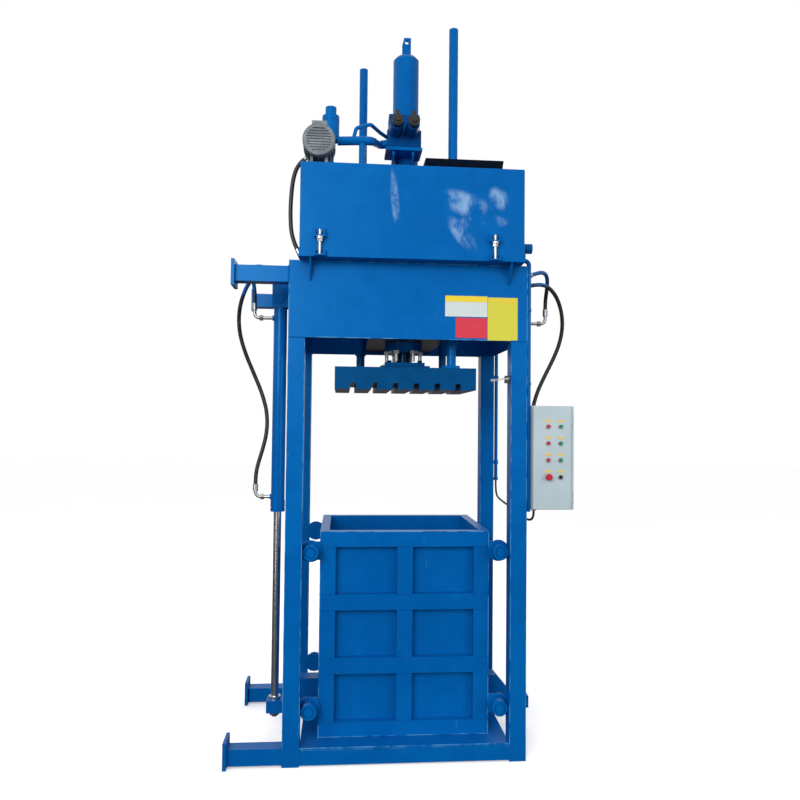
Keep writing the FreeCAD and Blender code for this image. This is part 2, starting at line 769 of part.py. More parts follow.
# --------------------------------------------------------- power pack pieces
def make_motor_body():
    y0, y1 = motor_front_y, motor_back_y
    can_r = motor_r - motor_fin_height
    parts = [cyl(can_r, (motor_x, y0, motor_z), (motor_x, y1, motor_z))]
    fin = box(motor_x - 2, motor_x + 2, y0 + 14, y1 - 22, motor_z + can_r - 3, motor_z + motor_r)
    for i in range(motor_fin_count):
        copy = fin.copy()
        copy.rotate(V(motor_x, 0, motor_z), Y_AXIS, 360 * i / motor_fin_count)
        parts.append(copy)
    parts.append(cyl(motor_r, (motor_x, y1 - 14, motor_z), (motor_x, y1, motor_z)))
    half = motor_foot_width / 2
    middle = (y0 + y1) / 2
    parts.append(box(motor_x - half, motor_x + half, middle - motor_foot_length / 2,
                     middle + motor_foot_length / 2, tank_top_z, tank_top_z + 12))
    for side in (-1, 1):
        x = motor_x + side * (half - 32)
        parts.append(box(x - 8, x + 8, middle - 50, middle + 50, tank_top_z + 6, motor_z - can_r * 0.55))
    bx, by, bz = terminal_box
    parts.append(box(motor_x - bx / 2, motor_x + bx / 2, middle - by / 2, middle + by / 2,
                     motor_z + can_r - 6, motor_z + can_r + bz))
    return [fuse(parts)]


def make_fan_cowl():
    y1 = motor_front_y
    y0 = y1 - cowl_length
    cowl = cyl(motor_r, (motor_x, y0, motor_z), (motor_x, y1, motor_z))
    rim = [e for e in cowl.Edges if abs(e.BoundBox.YMax - y0) < 0.1 and e.BoundBox.YLength < 0.1]
    cowl = cowl.makeFillet(8, rim)
    hollow = cyl(motor_r - cowl_wall, (motor_x, y0 + cowl_wall, motor_z), (motor_x, y1 + 1, motor_z))
    inner_rim = [e for e in hollow.Edges if e.BoundBox.YMax < y1 and e.BoundBox.YLength < 0.1]
    hollow = hollow.makeFillet(8 - cowl_wall, inner_rim)
    seat = ring(motor_r - cowl_wall + 0.5, motor_r - motor_fin_height, (motor_x, y1 - 4, motor_z), (motor_x, y1, motor_z))
    cowl = cowl.cut(hollow).fuse(seat)
    slots = []
    for row in range(-4, 5):
        z = motor_z + row * 16
        half = math.sqrt(max((motor_r - 22) ** 2 - (row * 16) ** 2, 100))
        slots.append(box(motor_x - half, motor_x + half, y0 - 1, y0 + cowl_wall + 1, z - 3, z + 3))
    return [cowl.cut(fuse_all(slots))]


def make_pump():
    y0, y1 = motor_back_y, motor_back_y + pump_length
    body = cyl(pump_r, (motor_x, y0, motor_z), (motor_x, y1, motor_z))
    plate = box(motor_x - pump_r, motor_x + pump_r, y0, y0 + 12, motor_z - 52, motor_z + 52)
    leg = cyl(12, (motor_x - 8, (y0 + y1) / 2 + 8, tank_top_z), (motor_x - 8, (y0 + y1) / 2 + 8, motor_z))
    return [fuse([body, plate, leg])]


def make_return_filter():
    at = lambda z: (filter_x, filter_y, z)
    neck = cyl(filter_neck_r, at(tank_top_z), at(filter_low_z + 4))
    foot = cyl(filter_neck_r + 18, at(tank_top_z), at(tank_top_z + 10))
    body = cyl(filter_r, at(filter_low_z), at(filter_top_z))
    groove = ring(filter_r + 1, filter_r - 2, at(filter_top_z - 30), at(filter_top_z - 27))
    cap = cyl(filter_cap_r, at(filter_top_z - 2), at(filter_top_z + filter_cap_height))
    return [fuse([foot, neck, body.cut(groove), cap])]


def make_manifold_block():
    half = manifold_width / 2
    block = box(manifold_x - half, manifold_x + half, manifold_front_y, manifold_back_y,
                manifold_low_z, manifold_low_z + manifold_height)
    edges = [e for e in block.Edges if abs(e.tangentAt(0).z) > 0.9]
    return [block.makeChamfer(3, edges)]


def make_valve_bodies():
    low = manifold_low_z + manifold_height
    half = valve_stack_width / 2
    front = manifold_front_y + 8
    stack = box(manifold_x - half, manifold_x + half, front, front + valve_stack_depth, low, low + valve_stack_height)
    stack = stack.makeChamfer(4, [e for e in stack.Edges if e.BoundBox.ZMin > low + 1])
    bodies = [stack]
    for side in (-1, 1):
        x = manifold_x - 6 + side * valve_spacing / 2
        tube = cyl(valve_tube_r, (x, manifold_front_y - valve_tube_length, valve_z), (x, manifold_front_y, valve_z))
        front_edge = [e for e in tube.Edges if e.BoundBox.YLength < 0.1 and e.BoundBox.YMax < manifold_front_y - 1]
        bodies.append(tube.makeChamfer(5, front_edge))
    return bodies


def make_solenoid_coils():
    coils = []
    for side in (-1, 1):
        x = manifold_x - 6 + side * valve_spacing / 2
        y1 = manifold_front_y - valve_tube_length
        y0 = y1 - coil_length
        coil = cyl(coil_r, (x, y0, valve_z), (x, y1, valve_z))
        collar = cyl(coil_ring_r, (x, y0 + 8, valve_z), (x, y0 + 8 + coil_ring_width, valve_z))
        nut = cyl(coil_nut_r, (x, y0 - coil_nut_length, valve_z), (x, y0, valve_z))
        sx, sy, sz = plug_size
        plug = box(x - sx / 2, x + sx / 2, y0 + 24, y0 + 24 + sy, valve_z + coil_r - 4, valve_z + coil_r + sz)
        coils.append(fuse([coil, collar, nut, plug]))
    return coils


def make_pipework():
    supply = pipe(supply_pipe_points, supply_pipe_r, supply_pipe_bend)
    drop_y, top = supply_pipe_points[0][1], supply_pipe_points[1][2]
    drop = cyl(drop_pipe_r, (drop_pipe_x, drop_y, tank_top_z), (drop_pipe_x, drop_y, top))
    nut = cyl(drop_pipe_r + 7, (drop_pipe_x, drop_y, tank_top_z), (drop_pipe_x, drop_y, tank_top_z + 26))
    arch = pipe(arch_pipe_points, arch_pipe_r, arch_pipe_bend)
    whole = fuse([supply, drop, nut, arch])
    # trimmed flush where it meets the filter and the manifold
    at = (filter_x, filter_y)
    filter_body = cyl(filter_r, (*at, filter_low_z), (*at, filter_top_z))
    half = manifold_width / 2
    block = box(manifold_x - half, manifold_x + half, manifold_front_y, manifold_back_y,
                manifold_low_z, manifold_low_z + manifold_height + valve_stack_height)
    return [whole.cut(filter_body).cut(block)]


# -------------------------------------------------------- lifting cylinders
def make_lift_barrels():
    barrels = []
    for sx in (-1, 1):
        x = sx * lift_x
        tube = cyl(lift_barrel_r, (x, 0, lift_barrel_low_z), (x, 0, lift_barrel_top_z))
        eye = cyl(34, (x, -eye_width / 2, ear_pin_z), (x, eye_width / 2, ear_pin_z))
        neck = box(x - 24, x + 24, -eye_width / 2, eye_width / 2, lift_barrel_top_z - 2, ear_pin_z)
        ports = []
        for z in (upper_port_z, lower_port_z):
            ports.append(cyl(18, (x + sx * (lift_barrel_r - 8), 0, z), (x + sx * (lift_barrel_r + 8), 0, z)))
        whole = fuse([tube, neck, eye] + ports)
        bore = cyl(lift_bore_r, (x, 0, lift_barrel_low_z - 1), (x, 0, lift_barrel_top_z - 20))
        pin_hole = cyl(ear_pin_r + pin_gap, (x, -eye_width, ear_pin_z), (x, eye_width, ear_pin_z))
        barrels.append(whole.cut(bore.fuse(pin_hole)))
    return barrels


def make_barrel_brackets():
    solids = []
    for sx in (-1, 1):
        x = sx * lift_x
        inner, outer = sx * outer_x, sx * (outer_x + ear_reach)
        left, right = min(inner, outer), max(inner, outer)
        hole = cyl(ear_pin_r + pin_gap, (x, -200, ear_pin_z), (x, 200, ear_pin_z))
        for sy in (-1, 1):
            y0 = sy * ear_gap / 2
            y1 = y0 + sy * ear_thick
            ear = box(left, right, min(y0, y1), max(y0, y1), ear_low_z, ear_top_z)
            solids.append(ear.cut(hole))
        cap_y = ear_gap / 2 + ear_thick
        pin = cyl(ear_pin_r, (x, -cap_y, ear_pin_z), (x, cap_y, ear_pin_z))
        caps = [cyl(ear_pin_cap_r, (x, s * cap_y, ear_pin_z), (x, s * (cap_y + 8), ear_pin_z)) for s in (-1, 1)]
        solids.append(fuse([pin] + caps))
    return solids


def make_lift_rods():
    rods = []
    for sx in (-1, 1):
        x = sx * lift_x
        seat_z = arm_end_low_z + arm_end_height
        low = arm_end_low_z - rod_nut_height - 12
        piston_low = lift_barrel_low_z + 30
        rod = cyl(lift_rod_r, (x, 0, seat_z), (x, 0, piston_low))
        piston = cyl(lift_bore_r - piston_gap, (x, 0, piston_low), (x, 0, piston_low + lift_piston_length))
        collar = cyl(rod_collar_r, (x, 0, seat_z), (x, 0, seat_z + rod_collar_height))
        stud = cyl(18, (x, 0, low), (x, 0, seat_z))
        nut = hex_bar(rod_nut_width, (x, 0, arm_end_low_z - rod_nut_height), (x, 0, arm_end_low_z))
        rods.append(fuse([rod, piston, collar, stud, nut]))
    return rods


def make_lift_arms():
    arms = []
    half = arm_thick / 2
    outline = [(chamber_width / 2, arm_end_low_z), (lift_x + arm_end_width / 2, arm_end_low_z),
               (lift_x + arm_end_width / 2, arm_end_low_z + arm_end_height),
               (lift_x - arm_end_width / 2, arm_end_low_z + arm_end_height),
               (arm_shoulder_x, arm_root_top_z), (chamber_width / 2, arm_root_top_z)]
    solid = prism([(x, -half, z) for x, z in outline], (0, arm_thick, 0))
    side_wall = arm_box_wall
    core = solid.makeOffsetShape(-side_wall, 0.01)
    hollow = solid.cut(core)
    stud_hole = cyl(18 + piston_gap, (lift_x, 0, 0), (lift_x, 0, arm_root_top_z))
    arm = hollow.cut(stud_hole)
    arms = [arm, mirror_x(arm)]
    return arms


# ------------------------------------------------------------ chamber pieces
def rail_bottoms():
    """Underside and height of each level rib."""
    clear = (chamber_height - low_rib - (rail_count - 1) * rib_width) / (rail_count - 1)
    levels = [(chamber_z, low_rib)]
    for i in range(1, rail_count):
        levels.append((chamber_z + low_rib + i * clear + (i - 1) * rib_width, rib_width))
    return levels


def make_chamber_ribs():
    """Folded channels around the lining, open towards it and welded where they cross."""
    hx, hy = chamber_width / 2, chamber_depth / 2
    t = rib_wall
    low, top = chamber_z, chamber_top_z
    outers, cores = [], []
    for z, h in rail_bottoms():
        outers.append(box(-hx, hx, -hy, hy, z, z + h))
        cores.append(box(-hx + t, hx - t, -hy + t, hy - t, z + t, z + h - t))
    half = rib_width / 2
    for x0, x1 in ((-hx, -hx + rib_width), (-half, half), (hx - rib_width, hx)):
        for y0, y1 in ((-hy, -lining_y), (lining_y, hy)):
            outers.append(box(x0, x1, y0, y1, low, top))
            cores.append(box(x0 + t, x1 - t, max(y0, -hy + t), min(y1, hy - t), low + t, top - t))
    for y0, y1 in ((-hy, -hy + rib_width), (-half, half), (hy - rib_width, hy)):
        for x0, x1 in ((-hx, -lining_x), (lining_x, hx)):
            outers.append(box(x0, x1, y0, y1, low, top))
            cores.append(box(max(x0, -hx + t), min(x1, hx - t), y0 + t, y1 - t, low + t, top - t))
    ribs = fuse_all(outers).cut(fuse_all(cores))
    ribs = ribs.cut(box(-lining_x, lining_x, -lining_y, lining_y, low - 1, top + 1))
    lugs = []
    for sx in (-1, 1):
        for sy in (-1, 1):
            for z in (lower_roller_z, upper_roller_z):
                lugs.append(roller_lug(sx, sy, z))
    ribs = fuse([ribs] + lugs)
    return [ribs]


def lug_outer_y():
    """The face of the axle lug that the roller runs beside."""
    return flange_inner_y - roller_flange_width - 3


def roller_lug(sx, sy, z):
    hx = chamber_width / 2
    x0, x1 = sx * (hx - 1), sx * (roller_x + axle_r + 14)
    y1 = sy * lug_outer_y()
    y0 = y1 - sy * lug_thick
    lug = box(min(x0, x1), max(x0, x1), min(y0, y1), max(y0, y1), z - lug_height / 2, z + lug_height / 2)
    hole = cyl(axle_r, (sx * roller_x, y0 - sy, z), (sx * roller_x, y1 + sy, z))
    return lug.cut(hole)


def make_chamber_liner():
    lx, ly, t = lining_x, lining_y, lining_thick
    return [tube_z(-lx, lx, -ly, ly, chamber_z, chamber_top_z, t)]


def make_roller_axles():
    axles = []
    for sx in (-1, 1):
        for sy in (-1, 1):
            for z in (lower_roller_z, upper_roller_z):
                x = sx * roller_x
                lug_y = lug_outer_y()
                roller_back = lug_y + roller_side_gap + 2
                recess_y = roller_back + roller_flange_width + tread_width - hub_recess
                head_y = recess_y + roller_side_gap
                pin = cyl(axle_r, (x, sy * (lug_y - lug_thick), z), (x, sy * head_y, z))
                washer = cyl(axle_r + 8, (x, sy * lug_y, z), (x, sy * (lug_y + 2), z))
                head = cyl(axle_head_r, (x, sy * head_y, z), (x, sy * (head_y + axle_head_thick), z))
                axles.append(fuse([pin, washer, head]))
    return axles


def make_roller(sx, sy, z):
    """Flanged wheel turned from one blank, with a recessed hub face."""
    x = sx * roller_x
    back = lug_outer_y() + roller_side_gap + 2
    mid = back + roller_flange_width
    front = mid + tread_width
    flange = cyl(roller_flange_r, (x, sy * back, z), (x, sy * mid, z))
    tread = cyl(tread_r, (x, sy * mid, z), (x, sy * front, z))
    recess = cyl(hub_recess_r, (x, sy * (front - hub_recess), z), (x, sy * (front + 1), z))
    bore = cyl(axle_r + pin_gap, (x, sy * (back - 1), z), (x, sy * (front + 1), z))
    wheel = fuse([flange, tread])
    rims = [e for e in wheel.Edges if e.BoundBox.YLength < 0.01]
    rims = [e for e in rims if abs(e.BoundBox.YMin * sy - front) < 0.1 or e.BoundBox.XLength > 2 * tread_r + 5]
    wheel = wheel.makeChamfer(2.5, rims)
    return [wheel.cut(recess).cut(bore)]


# -------------------------------------------------------------- press pieces
def make_platen():
    px, py = platen_x, platen_y
    low, top, t = platen_low_z, platen_top_z, platen_wall
    skirt = box(-px, px, -py, py, low, top).cut(box(-px + t, px - t, -py + t, py - t, low + t + 3, top + 1))
    parts = [skirt]
    for x in (-px * 0.55, 0, px * 0.55):
        parts.append(box(x - t / 2, x + t / 2, -py + t, py - t, low + t, top - t))
    parts.append(box(-px + t, px - t, -t / 2, t / 2, low + t, top - t))
    pad = pad_size / 2
    parts.append(box(press_x - pad, press_x + pad, -pad, pad, top - 20, top + pad_height))
    for x, y in guide_places():
        half = guide_foot_r + 12
        edge_y = min(abs(y) + half, py)
        y0, y1 = (abs(y) - half) * (1 if y > 0 else -1), edge_y * (1 if y > 0 else -1)
        parts.append(box(x - half, x + half, min(y0, y1), max(y0, y1), top - 20, top))
        parts.append(box(x - t / 2, x + t / 2, min(y0, y1), max(y0, y1), low + t, top - 18))
    edges = slot_edges(px)
    for x0, x1 in edges:
        parts.append(box(x0, x1, -py, py, low - bar_height, low))
    return [fuse(parts)]


def slot_edges(px):
    """Left and right edge of each bar between the strap slots."""
    first = -slot_pitch * (slot_count - 1) / 2
    middles = [first + slot_pitch * i for i in range(slot_count)]
    lefts = [-px] + [m + slot_width / 2 for m in middles]
    rights = [m - slot_width / 2 for m in middles] + [px]
    return list(zip(lefts, rights))


def make_ram_rod():
    top = piston_top_z
    rod = cyl(ram_rod_r, (press_x, 0, rod_low_z), (press_x, 0, top - piston_length))
    piston = cyl(barrel_bore_r - piston_gap, (press_x, 0, top - piston_length), (press_x, 0, top))
    hx, hy = ram_plate_x / 2, ram_plate_y / 2
    plate = box(press_x - hx, press_x + hx, -hy, hy, ram_low_z, rod_low_z)
    weld = Part.makeCone(ram_rod_r + 9, ram_rod_r, 9, V(press_x, 0, rod_low_z), Z_AXIS)
    bolts = []
    for sx in (-1, 1):
        for sy in (-1, 1):
            x, y = press_x + sx * (hx - 30), sy * (hy - 30)
            bolts.append(hex_bar(30, (x, y, rod_low_z), (x, y, rod_low_z + 14)))
    return [fuse([rod, piston, plate, weld] + bolts)]


def make_guide_rods():
    rods = []
    for x, y in guide_places():
        rod = cyl(guide_rod_r, (x, y, platen_top_z), (x, y, guide_top_z))
        top_edge = [e for e in rod.Edges if e.BoundBox.ZMin > guide_top_z - 1]
        rod = rod.makeChamfer(2, top_edge)
        foot = cyl(guide_foot_r, (x, y, platen_top_z), (x, y, platen_top_z + guide_foot_thick))
        if abs(y) + guide_foot_r > platen_y:
            foot = foot.common(box(x - 100, x + 100, -platen_y, platen_y, platen_top_z, platen_top_z + guide_foot_thick))
        rods.append(fuse([rod, foot]))
    return rods


# ---------------------------------------------------------- hoses and cables
def head_fitting(points):
    """Straight adapter from the head's side plate to a hose's first point."""
    start, second = V(*points[0]), V(*points[1])
    along = (second - start).normalize()
    back = start - along * 140
    side = 1 if start.x > 0 else -1
    body = cyl(elbow_r + 3, back, start)
    collar = cyl(ferrule_r, start - along * ferrule_length, start)
    nut = hex_bar(hose_nut_width, start - along * (ferrule_length + 20), start - along * ferrule_length)
    keep = box(min(side * outer_x, side * 1200), max(side * outer_x, side * 1200), -600, 600, 2500, 3200)
    return fuse([body, collar, nut]).common(keep)


def port_fitting(sx, drop_x, port_z, hose_end_z):
    """Ferrule, quarter bend, nut and adapter from a hose's lower end to a barrel port."""
    x = sx * (lift_x + drop_x)
    low = hose_end_z - ferrule_length
    parts = [cyl(ferrule_r, (x, 0, low), (x, 0, hose_end_z))]
    parts += elbow((x, 0, low), port_z, sx, elbow_r, elbow_bend)
    port_x = sx * (lift_x + lift_barrel_r + 8)
    parts.append(cyl(elbow_r, (x - sx * elbow_bend, 0, port_z), (port_x, 0, port_z)))
    nut_x = x - sx * elbow_bend
    parts.append(hex_bar(hose_nut_width, (nut_x, 0, port_z), (nut_x - sx * hose_nut_length, 0, port_z)))
    return fuse(parts)


def make_hose_fittings():
    fittings = [head_fitting(p) for p in (
        hose_left_lower_points, hose_left_upper_points, hose_right_upper_points, hose_right_lower_points)]
    upper, lower = (upper_drop_x, upper_port_z), (lower_drop_x, lower_port_z)
    ends = ((-1, *upper, hose_left_upper_points), (-1, *lower, hose_left_lower_points),
            (1, *upper, hose_right_upper_points), (1, *lower, hose_right_lower_points))
    fittings += [port_fitting(sx, drop_x, z, points[-1][2]) for sx, drop_x, z, points in ends]
    # tank hose: an elbow on the tank top and a nipple low on its left end
    start = V(*tank_hose_points[0])
    along = (V(*tank_hose_points[1]) - start).normalize()
    riser_x = start.x + 34
    riser = cyl(14, (riser_x, start.y, tank_top_z), (riser_x, start.y, start.z + 22))
    spout = cyl(13, start - along * 52, start)
    fittings.append(fuse([riser, spout, cyl(20, (riser_x, start.y, tank_top_z), (riser_x, start.y, tank_top_z + 14))]))
    end, before = V(*tank_hose_points[-1]), V(*tank_hose_points[-2])
    along = (end - before).normalize()
    nipple = cyl(13, end, end + along * 60).common(box(-900, tank_left_x, end.y - 50, end.y + 50, end.z - 100, end.z + 100))
    fittings.append(nipple)
    return fittings


# ------------------------------------------------------- electrical pieces
def make_conduit_pipes():
    points = ((tank_right_x, conduit_y, conduit_start_z), (conduit_x, conduit_y, conduit_start_z),
              (conduit_x, conduit_y, conduit_low_z))
    front = pipe(points, conduit_r, conduit_bend)
    nut = cyl(conduit_nut_r, (conduit_x, conduit_y, conduit_low_z), (conduit_x, conduit_y, conduit_low_z + 22))
    front = fuse([front, nut])
    x, y = rear_conduit_x, rear_conduit_y
    rear = cyl(rear_conduit_r, (x, y, rear_conduit_low_z), (x, y, rear_conduit_top_z - 40))
    turn_hub = V(x - 40, y, rear_conduit_top_z - 40)
    profile = Part.Face(Part.Wire([Part.makeCircle(rear_conduit_r, V(x, y, rear_conduit_top_z - 40), Z_AXIS)]))
    turn = profile.revolve(turn_hub, Y_AXIS, -90)
    turn = turn.common(box(outer_x, 900, y - 50, y + 50, 2500, 3200))
    bush = cyl(rear_conduit_r + 4, (x, y, rear_conduit_low_z), (x, y, rear_conduit_low_z + 20))
    return [front, fuse([rear, turn, bush])]


def make_side_brackets():
    solids = []
    for z in saddle_z:
        x, y = rear_conduit_x, rear_conduit_y
        r = rear_conduit_r
        base = box(outer_x, x - r + 3, y - 24, y + 24, z - saddle_width / 2, z + saddle_width / 2)
        strap = ring(r + saddle_wall, r, (x, y, z - saddle_width / 2), (x, y, z + saddle_width / 2))
        solids.append(fuse([base, strap]).cut(cyl(r, (x, y, z - 50), (x, y, z + 50))))
    for row in bracket_rows:
        z = box_low_z + row
        bar = box(outer_x, box_left_x, front_y + 55, front_y + 55 + bracket_bar, z - bracket_bar, z + bracket_bar)
        solids.append(bar)
    for z in conduit_strap_z:
        x, y, r = conduit_x, conduit_y, conduit_r
        strap = ring(r + 3, r, (x, y, z - 8), (x, y, z + 8)).common(box(outer_x, 800, -600, -400, z - 8, z + 8))
        solids.append(strap)
    return solids


def make_control_box():
    x0, x1 = box_left_x, box_right_x
    y0, y1 = box_front_y, box_front_y + box_depth
    z0, z1 = box_low_z, box_low_z + box_height
    t = box_wall
    shell = box(x0, x1, y0, y1, z0, z1).cut(box(x0 + t, x1 - t, y0 - 1, y1 - t, z0 + t, z1 - t))
    rim = box(x0, x1, y0, y0 + t, z0, z1).cut(
        box(x0 + box_rim, x1 - box_rim - door_right_gap, y0 - 1, y0 + t + 1, z0 + box_rim, z1 - box_rim))
    knuckles = []
    for height in hinge_heights:
        low, high = z0 + height - hinge_length / 2, z0 + height + hinge_length / 2
        third = hinge_length / 3
        for a, b in ((low, low + third), (high - third, high)):
            knuckles.append(cyl(hinge_r, (hinge_x, hinge_axis_y(), a), (hinge_x, hinge_axis_y(), b)))
            knuckles.append(box(hinge_x, hinge_x + hinge_r, hinge_axis_y(), y0, a, b))
            knuckles.append(box(hinge_x, x1 - 2, y0 - 4, y0, a, b))
    gland_x, gland_y = cable_gland
    gland = cyl(gland_nut_r, (gland_x, gland_y, z0 - cable_gland_drop), (gland_x, gland_y, z0 + 4))
    whole = fuse([shell, rim] + knuckles + [gland])
    bores = []
    for height in hinge_heights:
        low, high = z0 + height - hinge_length / 2, z0 + height + hinge_length / 2
        bores.append(cyl(2 + pin_gap, (hinge_x, hinge_axis_y(), low - 1), (hinge_x, hinge_axis_y(), high + 1)))
    return [whole.cut(fuse_all(bores))]


def hinge_axis_y():
    return box_front_y - door_back_gap - door_thick / 2


def make_control_box_door():
    x0, x1 = box_left_x + door_side_gap, door_right_x
    y0 = door_front_y
    y1 = y0 + door_thick
    z0, z1 = door_low_z, door_low_z + door_height
    pan = box(x0, x1, y0, y1, z0, z1)
    edges = [e for e in pan.Edges if e.BoundBox.YMax < y0 + 0.1 or (abs(e.tangentAt(0).y) > 0.9)]
    pan = pan.makeFillet(1.5, edges)
    s = door_skin
    pan = pan.cut(box(x0 + s, x1 - s, y0 + s, y1 + 1, z0 + s, z1 - s))
    holes = [cyl(bezel_r - 2, (x, y0 - 1, z), (x, y0 + s + 1, z)) for x, z in control_places()]
    pan = pan.cut(fuse_all(holes))
    parts = [pan]
    for height in hinge_heights:
        middle = box_low_z + height
        sixth = hinge_length / 6 - 0.5
        parts.append(cyl(hinge_r, (hinge_x, hinge_axis_y(), middle - sixth), (hinge_x, hinge_axis_y(), middle + sixth)))
        pin = hinge_length / 2 - 1
        parts.append(cyl(2, (hinge_x, hinge_axis_y(), middle - pin), (hinge_x, hinge_axis_y(), middle + pin)))
        parts.append(box(x1 - 3, hinge_x, hinge_axis_y() - 2, hinge_axis_y() + 2, middle - sixth, middle + sixth))
    return [fuse(parts)]


def control_places():
    return [(x, z) for z in button_rows for x in button_columns]


def make_button_bezels():
    bezels = []
    y = door_front_y
    for x, z in control_places():
        flange = cyl(bezel_r, (x, y - bezel_out, z), (x, y, z))
        rim = [e for e in flange.Edges if e.BoundBox.YMax < y - bezel_out + 0.1]
        flange = flange.makeChamfer(1.5, rim)
        skirt = cyl(bezel_r - 2, (x, y, z), (x, y + bezel_skirt, z))
        bore = cyl(bezel_bore_r, (x, y - bezel_out - 1, z), (x, y + bezel_skirt + 1, z))
        bezels.append(fuse([flange, skirt]).cut(bore))
    return bezels


def make_push_button(x, z):
    y = door_front_y
    r = bezel_bore_r - button_gap
    cap = cyl(r, (x, y - button_out, z), (x, y + bezel_skirt - 2, z))
    rim = [e for e in cap.Edges if e.BoundBox.YMax < y - button_out + 0.1]
    return [cap.makeFillet(1.2, rim)]


def make_estop():
    x, z = button_columns[0], button_rows[3]
    y = door_front_y
    stem = cyl(bezel_bore_r - button_gap, (x, y - estop_out + 8, z), (x, y + bezel_skirt - 2, z))
    head = cyl(estop_r, (x, y - estop_out, z), (x, y - bezel_out - button_travel - 1.5, z))
    rim = [e for e in head.Edges if e.BoundBox.YMax < y - estop_out + 0.1]
    return [fuse([head.makeFillet(5, rim), stem])]


def make_selector():
    x, z = button_columns[1], button_rows[3]
    y = door_front_y
    r = bezel_bore_r - button_gap
    stem = cyl(r, (x, y - bezel_out - 4, z), (x, y + bezel_skirt - 2, z))
    grip = box(x - 3.5, x + 3.5, y - selector_out, y - bezel_out - 2, z - r + 0.5, z + r - 0.5)
    grip = grip.makeFillet(2, [e for e in grip.Edges if abs(e.tangentAt(0).y) > 0.9])
    return [fuse([stem, grip])]


def lever_pivot():
    return (inner_x - lever_pivot_out, switch_y, switch_z)


def make_limit_switch():
    dx, dy, dz = switch_body
    x, y, z = lever_pivot()
    body = box(switch_face_x, inner_x, switch_y - dy / 2, switch_y + dy / 2, switch_z - dz / 2 - 4, switch_z + dz / 2 - 4)
    body = body.makeFillet(2, [e for e in body.Edges if abs(e.tangentAt(0).y) > 0.9])
    boss = cyl(9, (x, y - dy / 2 - 5, z), (x, y - dy / 2, z))
    return [fuse([body, boss]).cut(cyl(lever_pin_r + pin_gap, (x, y - dy, z), (x, y + 6, z)))]


def make_limit_lever():
    dx, dy, dz = switch_body
    x, y, z = lever_pivot()
    face = y - dy / 2 - 5.5
    pin = cyl(lever_pin_r, (x, face - lever_thick - 2, z), (x, y + 5, z))
    reach = math.sqrt(lever_length ** 2 - lever_drop ** 2)
    tilt = math.degrees(math.asin(lever_drop / lever_length))
    half = lever_wide / 2
    bar = box(x - lever_length, x, face - lever_thick, face, z - half, z + half)
    ends = [cyl(half, (x - d, face - lever_thick, z), (x - d, face, z)) for d in (0, lever_length)]
    slot = box(x - lever_length * 0.8, x - 18, face - lever_thick - 1, face + 1, z - 2, z + 2)
    arm = fuse([bar] + ends).cut(slot)
    tip = cyl(lever_roller_r, (x - lever_length, face, z), (x - lever_length, face + lever_roller_width, z))
    whole = fuse([arm, tip])
    whole.rotate(V(x, y, z), Y_AXIS, -tilt)
    return [fuse([whole, pin])]


# --------------------------------------------------------------------- build
def save(name, solids):
    shape = solids[0] if len(solids) == 1 else Part.makeCompound(solids)
    for solid in shape.Solids:
        if not solid.isValid():
            print("NOT VALID:", name)
    print(f"{name}: {len(shape.Solids)} solid(s), {shape.Volume / 1e6:.3f} litres")
    shape.exportStep(os.path.join("parts", name + ".step"))


def side_name(sx, sy, z):
    return "_".join(("roller", "left" if sx < 0 else "right", "front" if sy < 0 else "rear",
                     "lower" if z == lower_roller_z else "upper"))


def main():
    os.makedirs("parts", exist_ok=True)
    nodes = {
        "posts": make_posts, "base_frame": make_base_frame, "floor_plate": make_floor_plate,
        "side_arms": make_side_arms, "head_frame": make_head_frame, "tank_shelf": make_tank_shelf,
        "tank_shell": make_tank_shell, "hatch_cover": make_hatch_cover, "breather_cap": make_breather_cap,
        "main_cylinder": make_main_cylinder, "cylinder_glands": make_cylinder_glands,
        "fasteners": make_fasteners, "manifold_block": make_manifold_block,
        "valve_bodies": make_valve_bodies, "solenoid_coils": make_solenoid_coils,
        "motor_body": make_motor_body, "fan_cowl": make_fan_cowl, "pump": make_pump,
        "return_filter": make_return_filter, "pipework": make_pipework,
        "lift_barrels": make_lift_barrels, "barrel_brackets": make_barrel_brackets,
        "hose_fittings": make_hose_fittings, "conduit_pipes": make_conduit_pipes,
        "side_brackets": make_side_brackets, "limit_switch": make_limit_switch,
        "control_box": make_control_box, "control_box_door": make_control_box_door,
        "button_bezels": make_button_bezels, "estop_button": make_estop, "selector_knob": make_selector,
        "limit_lever": make_limit_lever, "chamber_liner": make_chamber_liner,
        "chamber_ribs": make_chamber_ribs, "lift_arms": make_lift_arms, "lift_rods": make_lift_rods,
        "roller_axles": make_roller_axles, "platen": make_platen, "ram_rod": make_ram_rod,
        "guide_rods": make_guide_rods}
    for name, make in nodes.items():
        save(name, make())
    for column, colour in enumerate(("red", "green")):
        for row in range(3):
            save(f"button_{colour}_{row + 1}", make_push_button(button_columns[column], button_rows[row]))
    for sx in (-1, 1):
        for sy in (-1, 1):
            for z in (lower_roller_z, upper_roller_z):
                save(side_name(sx, sy, z), make_roller(sx, sy, z))
    cords = {
        "hose_left_lower": (hose_left_lower_points, hose_d), "hose_left_upper": (hose_left_upper_points, hose_d),
        "hose_right_upper": (hose_right_upper_points, hose_d), "hose_right_lower": (hose_right_lower_points, hose_d),
        "tank_hose": (tank_hose_points, hose_d), "control_cable": (control_cable_points, cable_d)}
    for name, (points, diameter) in cords.items():
        save(name, [pipe(points, diameter / 2, name=name)])


main()
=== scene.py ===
import bpy
import math
from mathutils import Matrix, Vector


